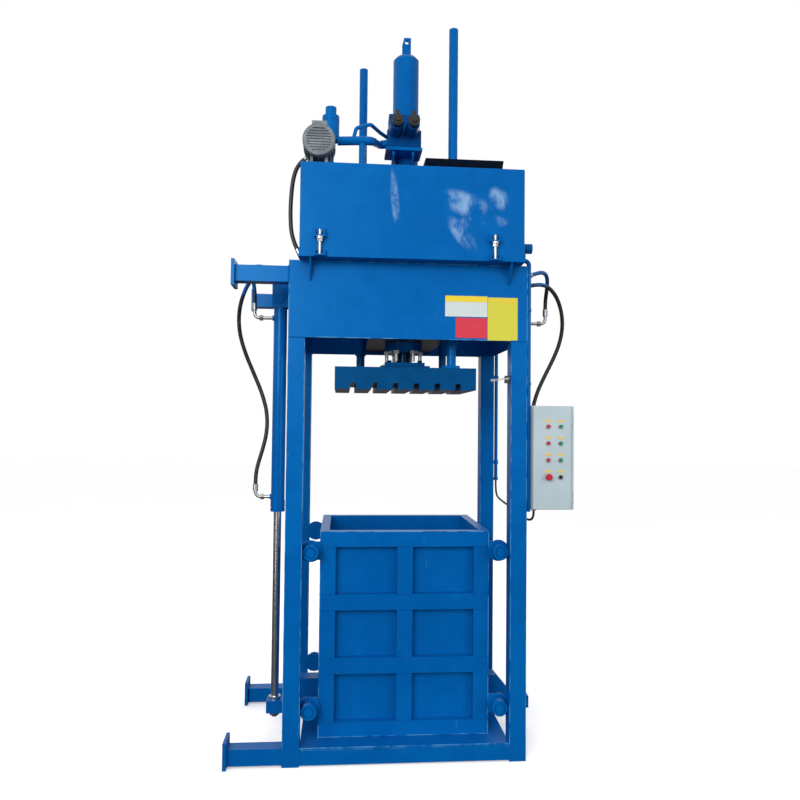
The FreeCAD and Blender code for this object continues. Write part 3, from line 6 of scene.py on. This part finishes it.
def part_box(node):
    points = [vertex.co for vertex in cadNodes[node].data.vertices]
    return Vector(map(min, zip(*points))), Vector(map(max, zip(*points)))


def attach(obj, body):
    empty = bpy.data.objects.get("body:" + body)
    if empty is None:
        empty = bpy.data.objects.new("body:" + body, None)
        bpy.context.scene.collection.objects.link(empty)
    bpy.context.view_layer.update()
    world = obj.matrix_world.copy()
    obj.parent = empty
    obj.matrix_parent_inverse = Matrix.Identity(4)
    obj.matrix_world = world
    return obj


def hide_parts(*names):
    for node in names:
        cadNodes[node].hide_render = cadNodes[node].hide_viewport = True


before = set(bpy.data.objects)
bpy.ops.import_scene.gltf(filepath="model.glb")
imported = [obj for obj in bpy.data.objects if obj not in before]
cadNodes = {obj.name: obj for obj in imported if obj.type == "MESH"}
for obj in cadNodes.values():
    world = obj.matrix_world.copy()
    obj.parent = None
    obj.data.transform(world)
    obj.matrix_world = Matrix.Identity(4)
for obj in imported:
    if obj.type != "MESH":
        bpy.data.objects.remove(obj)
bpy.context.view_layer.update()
scene = bpy.context.scene
print("frame loaded")


# camera
cameraSetup = {"place": (-0.3951, -4.7643, 2.0006), "turn": 0.0807, "tilt": 0.03288, "roll": 0.01004,
               "lens": 32.125, "sensor": 36}


def addCamera(s):
    bpy.ops.object.camera_add(location=s["place"])
    camera = bpy.context.object
    aim = Matrix.Rotation(-s["turn"], 3, "Z") @ Matrix.Rotation(math.pi / 2 + s["tilt"], 3, "X")
    aim = aim @ Matrix.Rotation(s["roll"], 3, "Z")
    camera.rotation_euler = aim.to_euler()
    camera.data.lens = s["lens"]
    camera.data.sensor_width = s["sensor"]
    scene.camera = camera


addCamera(cameraSetup)


# shader maths
class Value:
    # wraps a socket, so that shader maths reads as plain sums
    def __init__(self, look, socket):
        self.look, self.socket = look, socket

    def maths(self, operation, other=None, swap=False):
        pair = [self, other] if not swap else [other, self]
        if other is None:
            pair = [self]
        return self.look.node("ShaderNodeMath", {"operation": operation}, dict(enumerate(pair)))

    def __add__(self, other):
        return self.maths("ADD", other)

    def __radd__(self, other):
        return self.maths("ADD", other)

    def __sub__(self, other):
        return self.maths("SUBTRACT", other)

    def __rsub__(self, other):
        return self.maths("SUBTRACT", other, swap=True)

    def __mul__(self, other):
        return self.maths("MULTIPLY", other)

    def __truediv__(self, other):
        return self.maths("DIVIDE", other)

    def __gt__(self, other):
        return self.maths("GREATER_THAN", other)

    def __lt__(self, other):
        return self.maths("LESS_THAN", other)


class Look:
    # one material's node tree
    def __init__(self, name):
        self.material = bpy.data.materials.new(name)
        self.material.use_nodes = True
        self.tree = self.material.node_tree
        self.tree.nodes.clear()
        self.place = self.node("ShaderNodeTexCoord", out="Object")

    def node(self, kind, settings=None, sockets=None, out=0):
        made = self.tree.nodes.new(kind)
        for key, setting in (settings or {}).items():
            if key == "stops":
                for stop, (at, colour) in zip(made.color_ramp.elements, setting):
                    stop.position, stop.color = at, colour
            else:
                setattr(made, key, setting)
        for key, value in (sockets or {}).items():
            if isinstance(value, Value):
                self.tree.links.new(value.socket, made.inputs[key])
            else:
                made.inputs[key].default_value = value
        return Value(self, made.outputs[out]) if len(made.outputs) else made

    def axes(self):
        split = self.node("ShaderNodeSeparateXYZ", sockets={0: self.place})
        return [Value(self, split.socket.node.outputs[i]) for i in range(3)]

    def noise(self, scale, detail=3.0, rough=0.5, stretch=(1, 1, 1)):
        point = self.place
        if stretch != (1, 1, 1):
            point = self.node("ShaderNodeMapping", sockets={"Vector": self.place, "Scale": stretch})
        return self.node("ShaderNodeTexNoise", sockets={
            "Vector": point, "Scale": scale, "Detail": detail, "Roughness": rough})

    def ramp(self, value, low, high):
        # 0 under low, 1 over high, smooth between
        return self.node("ShaderNodeMapRange", {"interpolation_type": "SMOOTHSTEP"}, {
            "Value": value, "From Min": low, "From Max": high})

    def mix(self, share, first, second):
        return self.node("ShaderNodeMix", {"data_type": "RGBA"}, {0: share, 6: first, 7: second}, out=2)

    def bump(self, height, strength, distance=0.001):
        return self.node("ShaderNodeBump", sockets={
            "Height": height, "Strength": strength, "Distance": distance})

    def finish(self, **sockets):
        names = {"colour": "Base Color", "rough": "Roughness", "metal": "Metallic", "coat": "Coat Weight",
                 "coatRough": "Coat Roughness", "normal": "Normal", "gloss": "Specular IOR Level",
                 "glossTint": "Specular Tint", "alpha": "Alpha", "glow": "Emission Strength"}
        shader = self.node("ShaderNodeBsdfPrincipled", sockets={names[k]: v for k, v in sockets.items()})
        self.node("ShaderNodeOutputMaterial", sockets={0: shader})
        return self.material


def edgeMask(look, boxes, width):
    # 1 along the edges of boxes given in mirrored X and Y, 0 on their faces; it places the painted edge highlight
    x, y, z = look.axes()
    x, y = x.maths("ABSOLUTE"), y.maths("ABSOLUTE")
    total = None
    for low, high in boxes:
        near = None
        for axis, a, b in zip((x, y, z), low, high):
            for level in (a, b):
                if level is None:
                    continue
                distance = (axis - level).maths("ABSOLUTE")
                s = 1 - look.ramp(distance, width * 0.4, width)
                near = s if near is None else near + s
        edge = (near - 1).maths("MAXIMUM", 0.0)
        total = edge if total is None else total.maths("MAXIMUM", edge)
    return total.maths("MINIMUM", 1.0)


# finishes
# wear_and_highlight is a pale blue used for scuffs, which are wear, and for pale edges, which are painted highlight
paint = {"blue": (0.0006, 0.118, 0.41, 1), "deep": (0.0004, 0.098, 0.36, 1), "wear_and_highlight": (0.12, 0.38, 0.68, 1),
         "primer": (0.075, 0.016, 0.012, 1), "rough": 0.26, "glossy": 0.12}
# a darker blue than the main paint, for the valve stack, manifold and pump
darkerBlueTint = {"blue": (0.0006, 0.055, 0.22, 1), "deep": (0.0004, 0.03, 0.13, 1)}
# darker blue for the platen: painted shade, the shadow the head casts on it
paintedShadeTint = {"blue": (0.0005, 0.072, 0.23, 1), "deep": (0.0003, 0.055, 0.18, 1)}
navy = {"blue": (0.001, 0.016, 0.07, 1), "deep": (0.0006, 0.008, 0.036, 1)}


def paintLook(name, boxes=(), edgeWidth=0.004, zone=None, glare=None, tint=paint, rough=paint["rough"]):
    look = Look(name)
    x, y, z = look.axes()
    broad = look.noise(1.3, 2.0)
    mottled = look.noise(9.0, 4.0, 0.6)
    fine = look.noise(240.0, 2.0)
    tone = look.ramp(broad * 0.6 + mottled * 0.4, 0.38, 0.62)
    colour = look.mix(tone, tint["deep"], tint["blue"])
    scuffs = look.ramp(look.noise(30.0, 6.0, 0.7, (1, 1, 0.25)), 0.63, 0.78)
    colour = look.mix(scuffs * 0.25, colour, paint["wear_and_highlight"])
    if boxes:
        # pale edges: painted highlight along the box edges, broken up by noise like wear
        edges = edgeMask(look, boxes, edgeWidth) * look.ramp(look.noise(14.0, 4.0), 0.40, 0.60)
        colour = look.mix(edges * 0.65, colour, paint["wear_and_highlight"])
    # pale patches: painted reflection of glare
    if glare:
        colour = look.mix(glareMask(look, glare), colour, glare["colour"])
    if zone:
        inside = None
        for value, (least, most) in zip((x, y, z), zone["box"]):
            between = (value > least) * (value < most)
            inside = between if inside is None else inside * between
        colour = look.mix(inside, colour, zone["colour"])
    rough = rough + mottled * 0.12
    normal = look.bump(fine * 0.4 + mottled, 0.12, 0.0012)
    return look.finish(colour=colour, rough=rough, normal=normal, gloss=0.25, glossTint=(0.1, 0.55, 1, 1),
                       coat=0.04, coatRough=0.12)


def glareMask(look, s):
    # painted glare: pale reflection patches on a dented sheet
    x, y, z = look.axes()
    total = None
    for cx, cz, rx, rz, lean in s["patches"]:
        u = ((x - cx) + (z - cz) * lean) / rx
        v = (z - cz) / rz
        away = u * u + v * v
        patch = 1 - look.ramp(away, 0.1, 1.0)
        total = patch if total is None else total.maths("MAXIMUM", patch)
    streaks = look.ramp(look.noise(7.0, 5.0, 0.65, (1.0, 1.0, 0.6)), 0.42, 0.66)
    front = y < s["front"]
    return total * streaks * front * s["strength"]


metalColours = {"turned": (0.42, 0.43, 0.44, 1), "chrome": (0.62, 0.64, 0.66, 1), "zinc": (0.55, 0.56, 0.55, 1),
                "oil": (0.06, 0.07, 0.09, 1), "rust": (0.16, 0.08, 0.045, 1)}


def steelLook(name, colour, rough, grain=(1, 1, 60), oiled=0.3, rusty=0.0):
    look = Look(name)
    lines = look.noise(12.0, 4.0, 0.6, grain)
    cloudy = look.noise(6.0, 3.0)
    film = look.ramp(cloudy, 0.45, 0.75) * oiled
    tone = look.mix(film, colour, metalColours["oil"])
    if rusty:
        spots = look.ramp(look.noise(45.0, 6.0, 0.7), 0.58, 0.70) * rusty
        tone = look.mix(spots, tone, metalColours["rust"])
    return look.finish(colour=tone, rough=rough + lines * 0.15, metal=1.0 - film,
                       normal=look.bump(lines, 0.08, 0.0004))


def plasticLook(name, colour, rough, fleck=0.12, gloss=0.5):
    look = Look(name)
    grain = look.noise(420.0, 2.0)
    cloudy = look.noise(18.0, 3.0)
    shade = tuple(c * (1 - fleck) for c in colour[:3]) + (1,)
    tone = look.mix(look.ramp(cloudy, 0.3, 0.7), shade, colour)
    return look.finish(colour=tone, rough=rough + cloudy * 0.08, normal=look.bump(grain, 0.08, 0.0003),
                       gloss=gloss)


def hoseLook(name, paintFrom=None):
    # black rubber cover with a fine wrap, painted over at its upper end
    look = Look(name)
    z = look.axes()[2]
    wrap = look.node("ShaderNodeTexWave", {"bands_direction": "Z"}, {
        "Vector": look.place, "Scale": 75.0, "Distortion": 1.5})
    dusty = look.ramp(look.noise(26.0, 4.0), 0.40, 0.72)
    colour = look.mix(dusty * 0.5, (0.008, 0.008, 0.009, 1), (0.05, 0.052, 0.055, 1))
    if paintFrom:
        ragged = z + look.noise(30.0, 5.0) * 0.12
        over = look.ramp(ragged, paintFrom, paintFrom + 0.03)
        colour = look.mix(over, colour, paint["deep"])
    return look.finish(colour=colour, rough=0.42 + dusty * 0.2, normal=look.bump(wrap, 0.25, 0.0006))


def powderLook(name, colour, darker):
    # powder coat with its orange peel, a little grubby round the controls
    look = Look(name)
    peel = look.noise(160.0, 2.0)
    cloudy = look.noise(5.0, 4.0)
    grime = look.ramp(look.noise(32.0, 6.0, 0.7), 0.60, 0.80)
    tone = look.mix(look.ramp(cloudy, 0.35, 0.65), darker, colour)
    tone = look.mix(grime * 0.18, tone, (0.18, 0.20, 0.20, 1))
    return look.finish(colour=tone, rough=0.38 + peel * 0.1, normal=look.bump(peel, 0.15, 0.0006))


def castLook(name, colour, rough=0.5):
    look = Look(name)
    sand = look.noise(190.0, 4.0, 0.7)
    cloudy = look.noise(14.0, 3.0)
    shade = tuple(c * 0.6 for c in colour[:3]) + (1,)
    tone = look.mix(look.ramp(cloudy, 0.35, 0.65), shade, colour)
    return look.finish(colour=tone, rough=rough + sand * 0.15, normal=look.bump(sand, 0.35, 0.0009))


def coat(nodeName, material):
    mesh = cadNodes[nodeName].data
    mesh.materials.clear()
    mesh.materials.append(material)


def coatAll(material, *names):
    for name in names:
        coat(name, material)


postLow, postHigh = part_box("posts")
postSize = 0.1
headTop = 2.965
baseLevels = (0.1, 0.11)
chamber = {"halfX": 0.518, "halfY": 0.395, "low": 0.112, "top": 1.343, "panelFace": -0.345,
           "rails": (0.200, 0.486, 0.581, 0.867, 0.962, 1.248), "stiles": ((-0.423, -0.0475), (0.0475, 0.423))}
# widths of the pale edge bands: painted highlight, partly wear
edgeWearAndHighlightWidth = {"post": 0.005, "plate": 0.006}
postBox = ((postHigh.x - postSize, postHigh.y - postSize, None), (postHigh.x, postHigh.y, None))
baseBox = ((None, None, baseLevels[0]), (None, postHigh.y, baseLevels[1]))
headBox = ((None, None, postHigh.z), (postHigh.x, postHigh.y, headTop))
ribBox = ((None, None, chamber["low"]), (chamber["halfX"], chamber["halfY"], chamber["top"]))
primerZone = {"box": ((-0.222, 0.242), (-0.512, 0.512), (2.5295, 2.5355)), "colour": paint["primer"]}
ramPlateZone = {"box": ((-1, 1), (-1, 1), (2.3, 2.401)), "colour": paint["deep"]}

paintPosts = paintLook("paint_posts", [postBox], edgeWearAndHighlightWidth["post"])
paintBase = paintLook("paint_base", [baseBox], edgeWearAndHighlightWidth["plate"])
paintHead = paintLook("paint_head", [headBox], edgeWearAndHighlightWidth["plate"], zone=primerZone)
# pale patches on the tank front: painted reflection of glare
tankGlare = {"patches": [(0.32, 3.30, 0.16, 0.10, 0.9), (0.42, 3.20, 0.17, 0.05, -0.4), (0.30, 3.12, 0.07, 0.12, 0.6),
                         (-0.10, 3.30, 0.03, 0.22, 0.1), (0.52, 3.34, 0.07, 0.08, 0.3)],
             "colour": (0.40, 0.62, 0.85, 1), "front": -0.62, "strength": 0.6}
paintTank = paintLook("paint_tank", glare=tankGlare)
paintChamber = paintLook("paint_chamber", [ribBox], edgeWearAndHighlightWidth["plate"])
paintGlossy = paintLook("paint_glossy", rough=paint["glossy"])
paintPlain = paintLook("paint_plain")
print("paints made")

coatAll(paintPosts, "posts")
coatAll(paintBase, "base_frame", "floor_plate")
coatAll(paintHead, "head_frame")
coatAll(paintTank, "tank_shell")
coatAll(paintChamber, "chamber_ribs", "chamber_liner")
coatAll(paintPlain, "side_arms", "tank_shelf", "barrel_brackets", "return_filter", "side_brackets", "lift_arms")
# platen tinted darker: painted shade under the head
coat("platen", paintLook("platen_painted_shade", tint=paintedShadeTint))
coatAll(paintGlossy, "main_cylinder", "lift_barrels", "guide_rods", "pipework", "cylinder_glands", "roller_axles",
        "conduit_pipes")
coat("ram_rod", paintLook("rod_navy", zone=ramPlateZone, tint=navy, rough=paint["glossy"]))

zincLook = steelLook("zinc_plate", metalColours["zinc"], 0.32, (8, 8, 8), 0.15)
coat("lift_rods", steelLook("hard_chrome", metalColours["chrome"], 0.16, (1, 1, 40), 0.15))
coat("limit_lever", steelLook("turned_steel", metalColours["turned"], 0.30, (1, 30, 1), 0.45, 0.2))
coatAll(zincLook, "fasteners", "hose_fittings", "button_bezels")
coatAll(paintGlossy, *[name for name in cadNodes if name.startswith("roller_") and name != "roller_axles"])
# near-black lid: partly its own black, partly painted shade under the overhang
coat("hatch_cover", plasticLook("hatch_black_and_painted_shade", (0.004, 0.009, 0.022, 1), 0.4, 0.3, 0.12))
coat("breather_cap", steelLook("breather_bright", (0.7, 0.72, 0.74, 1), 0.18, (6, 6, 6), 0.1))
coatAll(paintLook("valve_paint", tint=darkerBlueTint), "manifold_block", "valve_bodies", "pump")
coatAll(castLook("motor_enamel", (0.20, 0.235, 0.27, 1), 0.42), "motor_body", "fan_cowl")
coat("solenoid_coils", plasticLook("coil_black", (0.012, 0.012, 0.014, 1), 0.35))
coat("limit_switch", castLook("switch_case", (0.05, 0.055, 0.06, 1), 0.4))
coatAll(powderLook("box_powder", (0.46, 0.56, 0.60, 1), (0.41, 0.51, 0.55, 1)), "control_box", "control_box_door")
coatAll(plasticLook("button_red", (0.52, 0.003, 0.04, 1), 0.22), "button_red_1", "button_red_2", "button_red_3",
        "estop_button")
coatAll(plasticLook("button_green", (0.003, 0.20, 0.085, 1), 0.22), "button_green_1", "button_green_2",
        "button_green_3")
coat("selector_knob", plasticLook("knob_black", (0.015, 0.015, 0.017, 1), 0.3))
print("CAD nodes coated")


# hoses and the control cable
cords = {
    "hose_left_lower": {"length": 1.621, "diameter": 0.026, "paintFrom": 2.86, "points": (
        (-0.790, -0.300, 2.936), (-0.895, -0.285, 2.950), (-0.985, -0.225, 2.895), (-1.042, -0.155, 2.800),
        (-1.070, -0.105, 2.690), (-1.066, -0.065, 2.570), (-1.030, -0.035, 2.445), (-0.975, -0.015, 2.315),
        (-0.920, -0.005, 2.185), (-0.887, 0, 2.060), (-0.887, 0, 1.935), (-0.914, 0, 1.818), (-0.944, 0, 1.720),
        (-0.956, 0, 1.650), (-0.956, 0, 1.595))},
    "hose_left_upper": {"length": 0.592, "diameter": 0.026, "paintFrom": 2.90, "points": (
        (-0.790, -0.378, 2.925), (-0.880, -0.350, 2.955), (-0.948, -0.280, 2.972), (-0.980, -0.190, 2.973),
        (-0.990, -0.103, 2.956), (-0.986, -0.038, 2.917), (-0.980, 0, 2.857), (-0.980, 0, 2.787))},
    "hose_right_upper": {"length": 0.521, "diameter": 0.026, "paintFrom": 2.98, "points": (
        (0.790, -0.338, 2.950), (0.860, -0.290, 2.982), (0.915, -0.222, 2.990), (0.952, -0.145, 2.975),
        (0.972, -0.075, 2.938), (0.980, -0.022, 2.887), (0.980, 0, 2.838), (0.980, 0, 2.787))},
    "hose_right_lower": {"length": 1.604, "diameter": 0.026, "paintFrom": 2.95, "points": (
        (0.790, -0.262, 2.893), (0.890, -0.232, 2.926), (0.988, -0.178, 2.878), (1.052, -0.120, 2.785),
        (1.082, -0.070, 2.672), (1.072, -0.035, 2.555), (1.030, -0.012, 2.440), (0.975, -0.004, 2.330),
        (0.925, 0, 2.220), (0.893, 0, 2.105), (0.884, 0, 1.980), (0.896, 0, 1.862), (0.922, 0, 1.760),
        (0.946, 0, 1.686), (0.956, 0, 1.640), (0.956, 0, 1.595))},
    "tank_hose": {"length": 0.579, "diameter": 0.026, "paintFrom": None, "points": (
        (-0.645, -0.420, 3.605), (-0.681, -0.420, 3.574), (-0.710, -0.420, 3.493), (-0.722, -0.420, 3.370),
        (-0.724, -0.420, 3.243), (-0.714, -0.420, 3.126), (-0.681, -0.420, 3.053))},
    "control_cable": {"length": 1.041, "diameter": 0.014, "paintFrom": None, "points": (
        (0.747, 0.475, 1.589), (0.747, 0.475, 1.545), (0.747, 0.462, 1.505), (0.747, 0.432, 1.478),
        (0.746, 0.350, 1.465), (0.745, 0.240, 1.458), (0.744, 0.110, 1.452), (0.743, -0.030, 1.444),
        (0.745, -0.160, 1.432), (0.752, -0.275, 1.418), (0.763, -0.357, 1.410), (0.775, -0.401, 1.412),
        (0.783, -0.423, 1.426), (0.786, -0.436, 1.449), (0.786, -0.436, 1.475))},
}


def addCord(name, s):
    curve = bpy.data.curves.new(name + "_run", "CURVE")
    curve.dimensions = "3D"
    curve.bevel_depth = s["diameter"] / 2
    curve.bevel_resolution = 5
    curve.resolution_u = 10
    curve.use_fill_caps = True
    spline = curve.splines.new("NURBS")
    spline.points.add(len(s["points"]) - 1)
    for point, place in zip(spline.points, s["points"]):
        point.co = (*place, 1)
    spline.order_u = 3
    spline.use_endpoint_u = True
    piece = bpy.data.objects.new(name + "_run", curve)
    scene.collection.objects.link(piece)
    curve.materials.append(hoseLook(name + "_rubber", s["paintFrom"]))
    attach(piece, "frame")
    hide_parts(name)


for cordName, cordSizes in cords.items():
    addCord(cordName, cordSizes)
print("cords laid")


# modelling helpers
def clearPick():
    bpy.ops.object.select_all(action="DESELECT")


def settle(piece, name, body, material):
    # names a finished piece, puts its place into its mesh and lets it ride
    clearPick()
    piece.select_set(True)
    bpy.context.view_layer.objects.active = piece
    bpy.ops.object.transform_apply(location=True, rotation=True, scale=True)
    piece.name = name
    piece.data.materials.clear()
    piece.data.materials.append(material)
    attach(piece, body)
    return piece


def joined(pieces):
    clearPick()
    for piece in pieces:
        piece.select_set(True)
    bpy.context.view_layer.objects.active = pieces[0]
    if len(pieces) > 1:
        bpy.ops.object.join()
    return bpy.context.view_layer.objects.active


def roundedPlate(centre, size, corner, edge):
    # thin plate with rounded corners and a softened rim, facing -Y
    clearPick()
    bpy.ops.mesh.primitive_cube_add(size=1, location=centre, scale=size)
    plate = bpy.context.object
    bpy.ops.object.transform_apply(location=False, rotation=False, scale=True)
    bpy.ops.object.mode_set(mode="EDIT")
    bpy.ops.mesh.select_all(action="DESELECT")
    bpy.ops.object.mode_set(mode="OBJECT")
    for e in plate.data.edges:
        a, b = (plate.data.vertices[i].co for i in e.vertices)
        e.select = abs(a.y - b.y) > size[1] * 0.5
    bpy.ops.object.mode_set(mode="EDIT")
    bpy.context.tool_settings.mesh_select_mode = (False, True, False)
    bpy.ops.mesh.bevel(offset=corner, segments=4)
    bpy.ops.mesh.select_all(action="DESELECT")
    bpy.ops.object.mode_set(mode="OBJECT")
    rim = plate.modifiers.new("rim", "BEVEL")
    rim.width, rim.segments, rim.limit_method, rim.angle_limit = edge, 2, "ANGLE", math.radians(50)
    bpy.ops.object.modifier_apply(modifier="rim")
    return plate


# stickers on the head's front, as plain fields of colour
stickers = {"gap": 0.0004, "thick": 0.0012, "plates": [
    ("sticker_white", (0.214, 0.472, 2.647, 2.774), (0.58, 0.65, 0.65, 1)),
    ("sticker_red", (0.280, 0.470, 2.519, 2.641), (0.62, 0.02, 0.05, 1)),
    ("sticker_yellow", (0.474, 0.658, 2.507, 2.768), (0.62, 0.58, 0.035, 1)),
], "bands": [
    ("sticker_white_band", (0.216, 0.470, 2.737, 2.772), (0.80, 0.60, 0.02, 1)),
    ("sticker_yellow_band", (0.478, 0.654, 2.738, 2.764), (0.72, 0.56, 0.03, 1)),
]}


def printLook(name, colour):
    look = Look(name)
    rub = look.ramp(look.noise(40.0, 5.0), 0.55, 0.75)
    faded = tuple(c * 0.85 + 0.05 for c in colour[:3]) + (1,)
    tone = look.mix(rub * 0.6, colour, faded)
    return look.finish(colour=tone, rough=0.35 + rub * 0.2, normal=look.bump(look.noise(90.0), 0.05, 0.0004))


def addStickers(s):
    front = postLow.y
    for layer, group in ((0, s["plates"]), (1, s["bands"])):
        for name, (x0, x1, z0, z1), colour in group:
            y = front - s["gap"] - s["thick"] * (0.5 + layer * 0.55)
            plate = roundedPlate(((x0 + x1) / 2, y, (z0 + z1) / 2), (x1 - x0, s["thick"], z1 - z0), 0.004, 0.0002)
            settle(plate, name, "frame", printLook(name + "_print", colour))


addStickers(stickers)
print("stickers placed")


# legend plates over the controls
legends = {"columns": (0.843, 0.919), "rows": (1.992, 1.891, 1.790, 1.689), "above": 0.033,
           "size": (0.044, 0.0012, 0.015), "colour": (0.68, 0.52, 0.16, 1)}


def addLegends(s):
    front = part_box("control_box_door")[0].y
    plates = []
    for z in s["rows"]:
        for x in s["columns"]:
            place = (x, front - s["size"][1] / 2 - 0.0002, z + s["above"])
            plates.append(roundedPlate(place, s["size"], 0.002, 0.0002))
    settle(joined(plates), "control_legends", "door", printLook("legend_print", s["colour"]))


addLegends(legends)


# weld beads, as overlapping ripples
beads = {"pitch": 0.0055, "squash": 0.75, "proud": 0.001, "panel": 0.0035, "seam": 0.003, "floor": 0.004,
         "post": 0.005, "sunk": 0.002, "floorDrop": 0.010, "postStart": 0.012}
arms = {"heights": ((2.8325, 2.9275), (0.016, 0.111)), "fronts": (-0.525, 0.43), "size": 0.095, "plateX": -1.034}


def beadRun(start, end, radius):
    # one ripple, repeated along a line
    start, end = Vector(start), Vector(end)
    clearPick()
    bpy.ops.mesh.primitive_uv_sphere_add(segments=8, ring_count=4, radius=radius, location=(0, 0, 0))
    ripple = bpy.context.object
    ripple.scale = (1, 1, beads["squash"])
    bpy.ops.object.transform_apply(location=False, rotation=False, scale=True)
    row = ripple.modifiers.new("row", "ARRAY")
    row.use_relative_offset = False
    row.use_constant_offset = True
    row.constant_offset_displace = (0, 0, beads["pitch"])
    row.count = max(2, int((end - start).length / beads["pitch"]))
    bpy.ops.object.modifier_apply(modifier="row")
    ripple.rotation_euler = (end - start).to_track_quat("Z", "Y").to_euler()
    ripple.location = start
    bpy.ops.object.transform_apply(location=True, rotation=True, scale=False)
    bpy.ops.object.shade_smooth()
    return ripple


def panelBeads():
    # round the corners of each front panel, where liner meets ribs
    runs = []
    y = chamber["panelFace"] - beads["proud"]
    rails = chamber["rails"]
    for low, high in zip(rails[::2], rails[1::2]):
        for left, right in chamber["stiles"]:
            for z in (low, high):
                runs.append(beadRun((left, y, z), (right, y, z), beads["panel"]))
            for x in (left, right):
                runs.append(beadRun((x, y, low), (x, y, high), beads["panel"]))
    return runs


def seamBeads():
    # where the rails cross the stiles, on the chamber's front face
    runs = []
    y, half = -chamber["halfY"], chamber["halfX"]
    left, right = chamber["stiles"]
    for z in chamber["rails"]:
        for x0, x1 in ((-half, left[0]), (left[1], right[0]), (right[1], half)):
            runs.append(beadRun((x0, y, z), (x1, y, z), beads["seam"]))
    return runs


def frameBeads():
    # along the floor plate, up the feet of the posts and under the head
    runs = []
    inner, outer = postHigh.x - postSize, postHigh.x
    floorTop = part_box("floor_plate")[1].z
    level = floorTop - beads["floorDrop"]
    for sy in (-1, 1):
        y = sy * (postHigh.y - beads["sunk"])
        face = sy * postHigh.y
        runs.append(beadRun((-inner, y, level), (inner, y, level), beads["floor"]))
        for sx in (-1, 1):
            x = sx * inner
            runs.append(beadRun((x, face, beads["postStart"]), (x, face, floorTop), beads["post"]))
            runs.append(beadRun((x, face, postHigh.z), (sx * outer, face, postHigh.z), beads["post"]))
    return runs


def armBeads():
    # round both ends of each side arm
    runs = []
    for z0, z1 in arms["heights"]:
        for y0 in arms["fronts"]:
            for x in (-postHigh.x - beads["proud"], arms["plateX"]):
                runs.append(beadRun((x, y0, z0), (x, y0, z1), beads["post"]))
                runs.append(beadRun((x, y0, z1), (x, y0 + arms["size"], z1), beads["post"]))
    return runs


beadPaint = paintLook("bead_paint")
settle(joined(panelBeads() + seamBeads()), "chamber_beads", "chamber", beadPaint)
settle(joined(frameBeads() + armBeads()), "frame_beads", "frame", beadPaint)
print("welds run")


# floor and light
stageSizes = {"across": 60, "glow": 0.35}


def stageLook():
    look = Look("studio_floor")
    cloudy = look.noise(0.6, 2.0)
    tone = look.mix(cloudy, (0.90, 0.905, 0.91, 1), (0.95, 0.95, 0.955, 1))
    return look.finish(colour=tone, rough=0.85, glow=stageSizes["glow"])


def addFloor():
    clearPick()
    bpy.ops.mesh.primitive_plane_add(size=stageSizes["across"], location=(0, 0, 0))
    floor = bpy.context.object
    floor.name = "studio_floor"
    floor.visible_diffuse = False
    floor.visible_glossy = False
    floor.data.materials.append(stageLook())


lights = {"key": {"place": (-3.0, -7.4, 4.4), "aim": (0, 0, 2.2), "size": (3.5, 3.5), "power": 362},
          "fill": {"place": (4.5, -6.0, 3.0), "aim": (0, 0, 2.0), "size": (4.0, 4.0), "power": 85},
          "back": {"place": (1.5, 6.0, 6.5), "aim": (0, 0, 2.5), "size": (4.0, 4.0), "power": 90},
          "left_strip": {"place": (-3.0, -3.6, 2.4), "aim": (0, 0, 2.4), "size": (0.3, 4.6), "power": 22},
          "right_strip": {"place": (3.2, -3.2, 2.4), "aim": (0, 0, 2.4), "size": (0.3, 4.6), "power": 14}}
sky = {"above": 0.68, "below": 0.08, "from": -0.12, "to": 0.10}


def addLights(s):
    for name, one in s.items():
        bpy.ops.object.light_add(type="AREA", location=one["place"])
        light = bpy.context.object
        light.name = name
        light.data.shape = "RECTANGLE"
        light.data.size, light.data.size_y = one["size"]
        light.data.energy = one["power"]
        aim = Vector(one["aim"]) - Vector(one["place"])
        light.rotation_euler = aim.to_track_quat("-Z", "Y").to_euler()


def addSky(s):
    world = bpy.data.worlds.new("pale_studio")
    scene.world = world
    world.use_nodes = True
    tree = world.node_tree
    background = tree.nodes["Background"]
    background.inputs["Color"].default_value = (1, 1, 1, 1)
    aimed = tree.nodes.new("ShaderNodeTexCoord")
    split = tree.nodes.new("ShaderNodeSeparateXYZ")
    level = tree.nodes.new("ShaderNodeMapRange")
    tree.links.new(aimed.outputs["Generated"], split.inputs[0])
    tree.links.new(split.outputs["Z"], level.inputs["Value"])
    for name, key in (("From Min", "from"), ("From Max", "to"), ("To Min", "below"), ("To Max", "above")):
        level.inputs[name].default_value = s[key]
    tree.links.new(level.outputs["Result"], background.inputs["Strength"])
    bright = tree.nodes.new("ShaderNodeBackground")
    bright.inputs["Color"].default_value = (1, 1, 1, 1)
    bright.inputs["Strength"].default_value = 1.0
    seen = tree.nodes.new("ShaderNodeLightPath")
    pick = tree.nodes.new("ShaderNodeMixShader")
    tree.links.new(seen.outputs["Is Camera Ray"], pick.inputs[0])
    tree.links.new(background.outputs[0], pick.inputs[1])
    tree.links.new(bright.outputs[0], pick.inputs[2])
    tree.links.new(pick.outputs[0], tree.nodes["World Output"].inputs[0])


addFloor()
addLights(lights)
addSky(sky)
scene.view_settings.view_transform = "Standard"
print("floor and lights set")
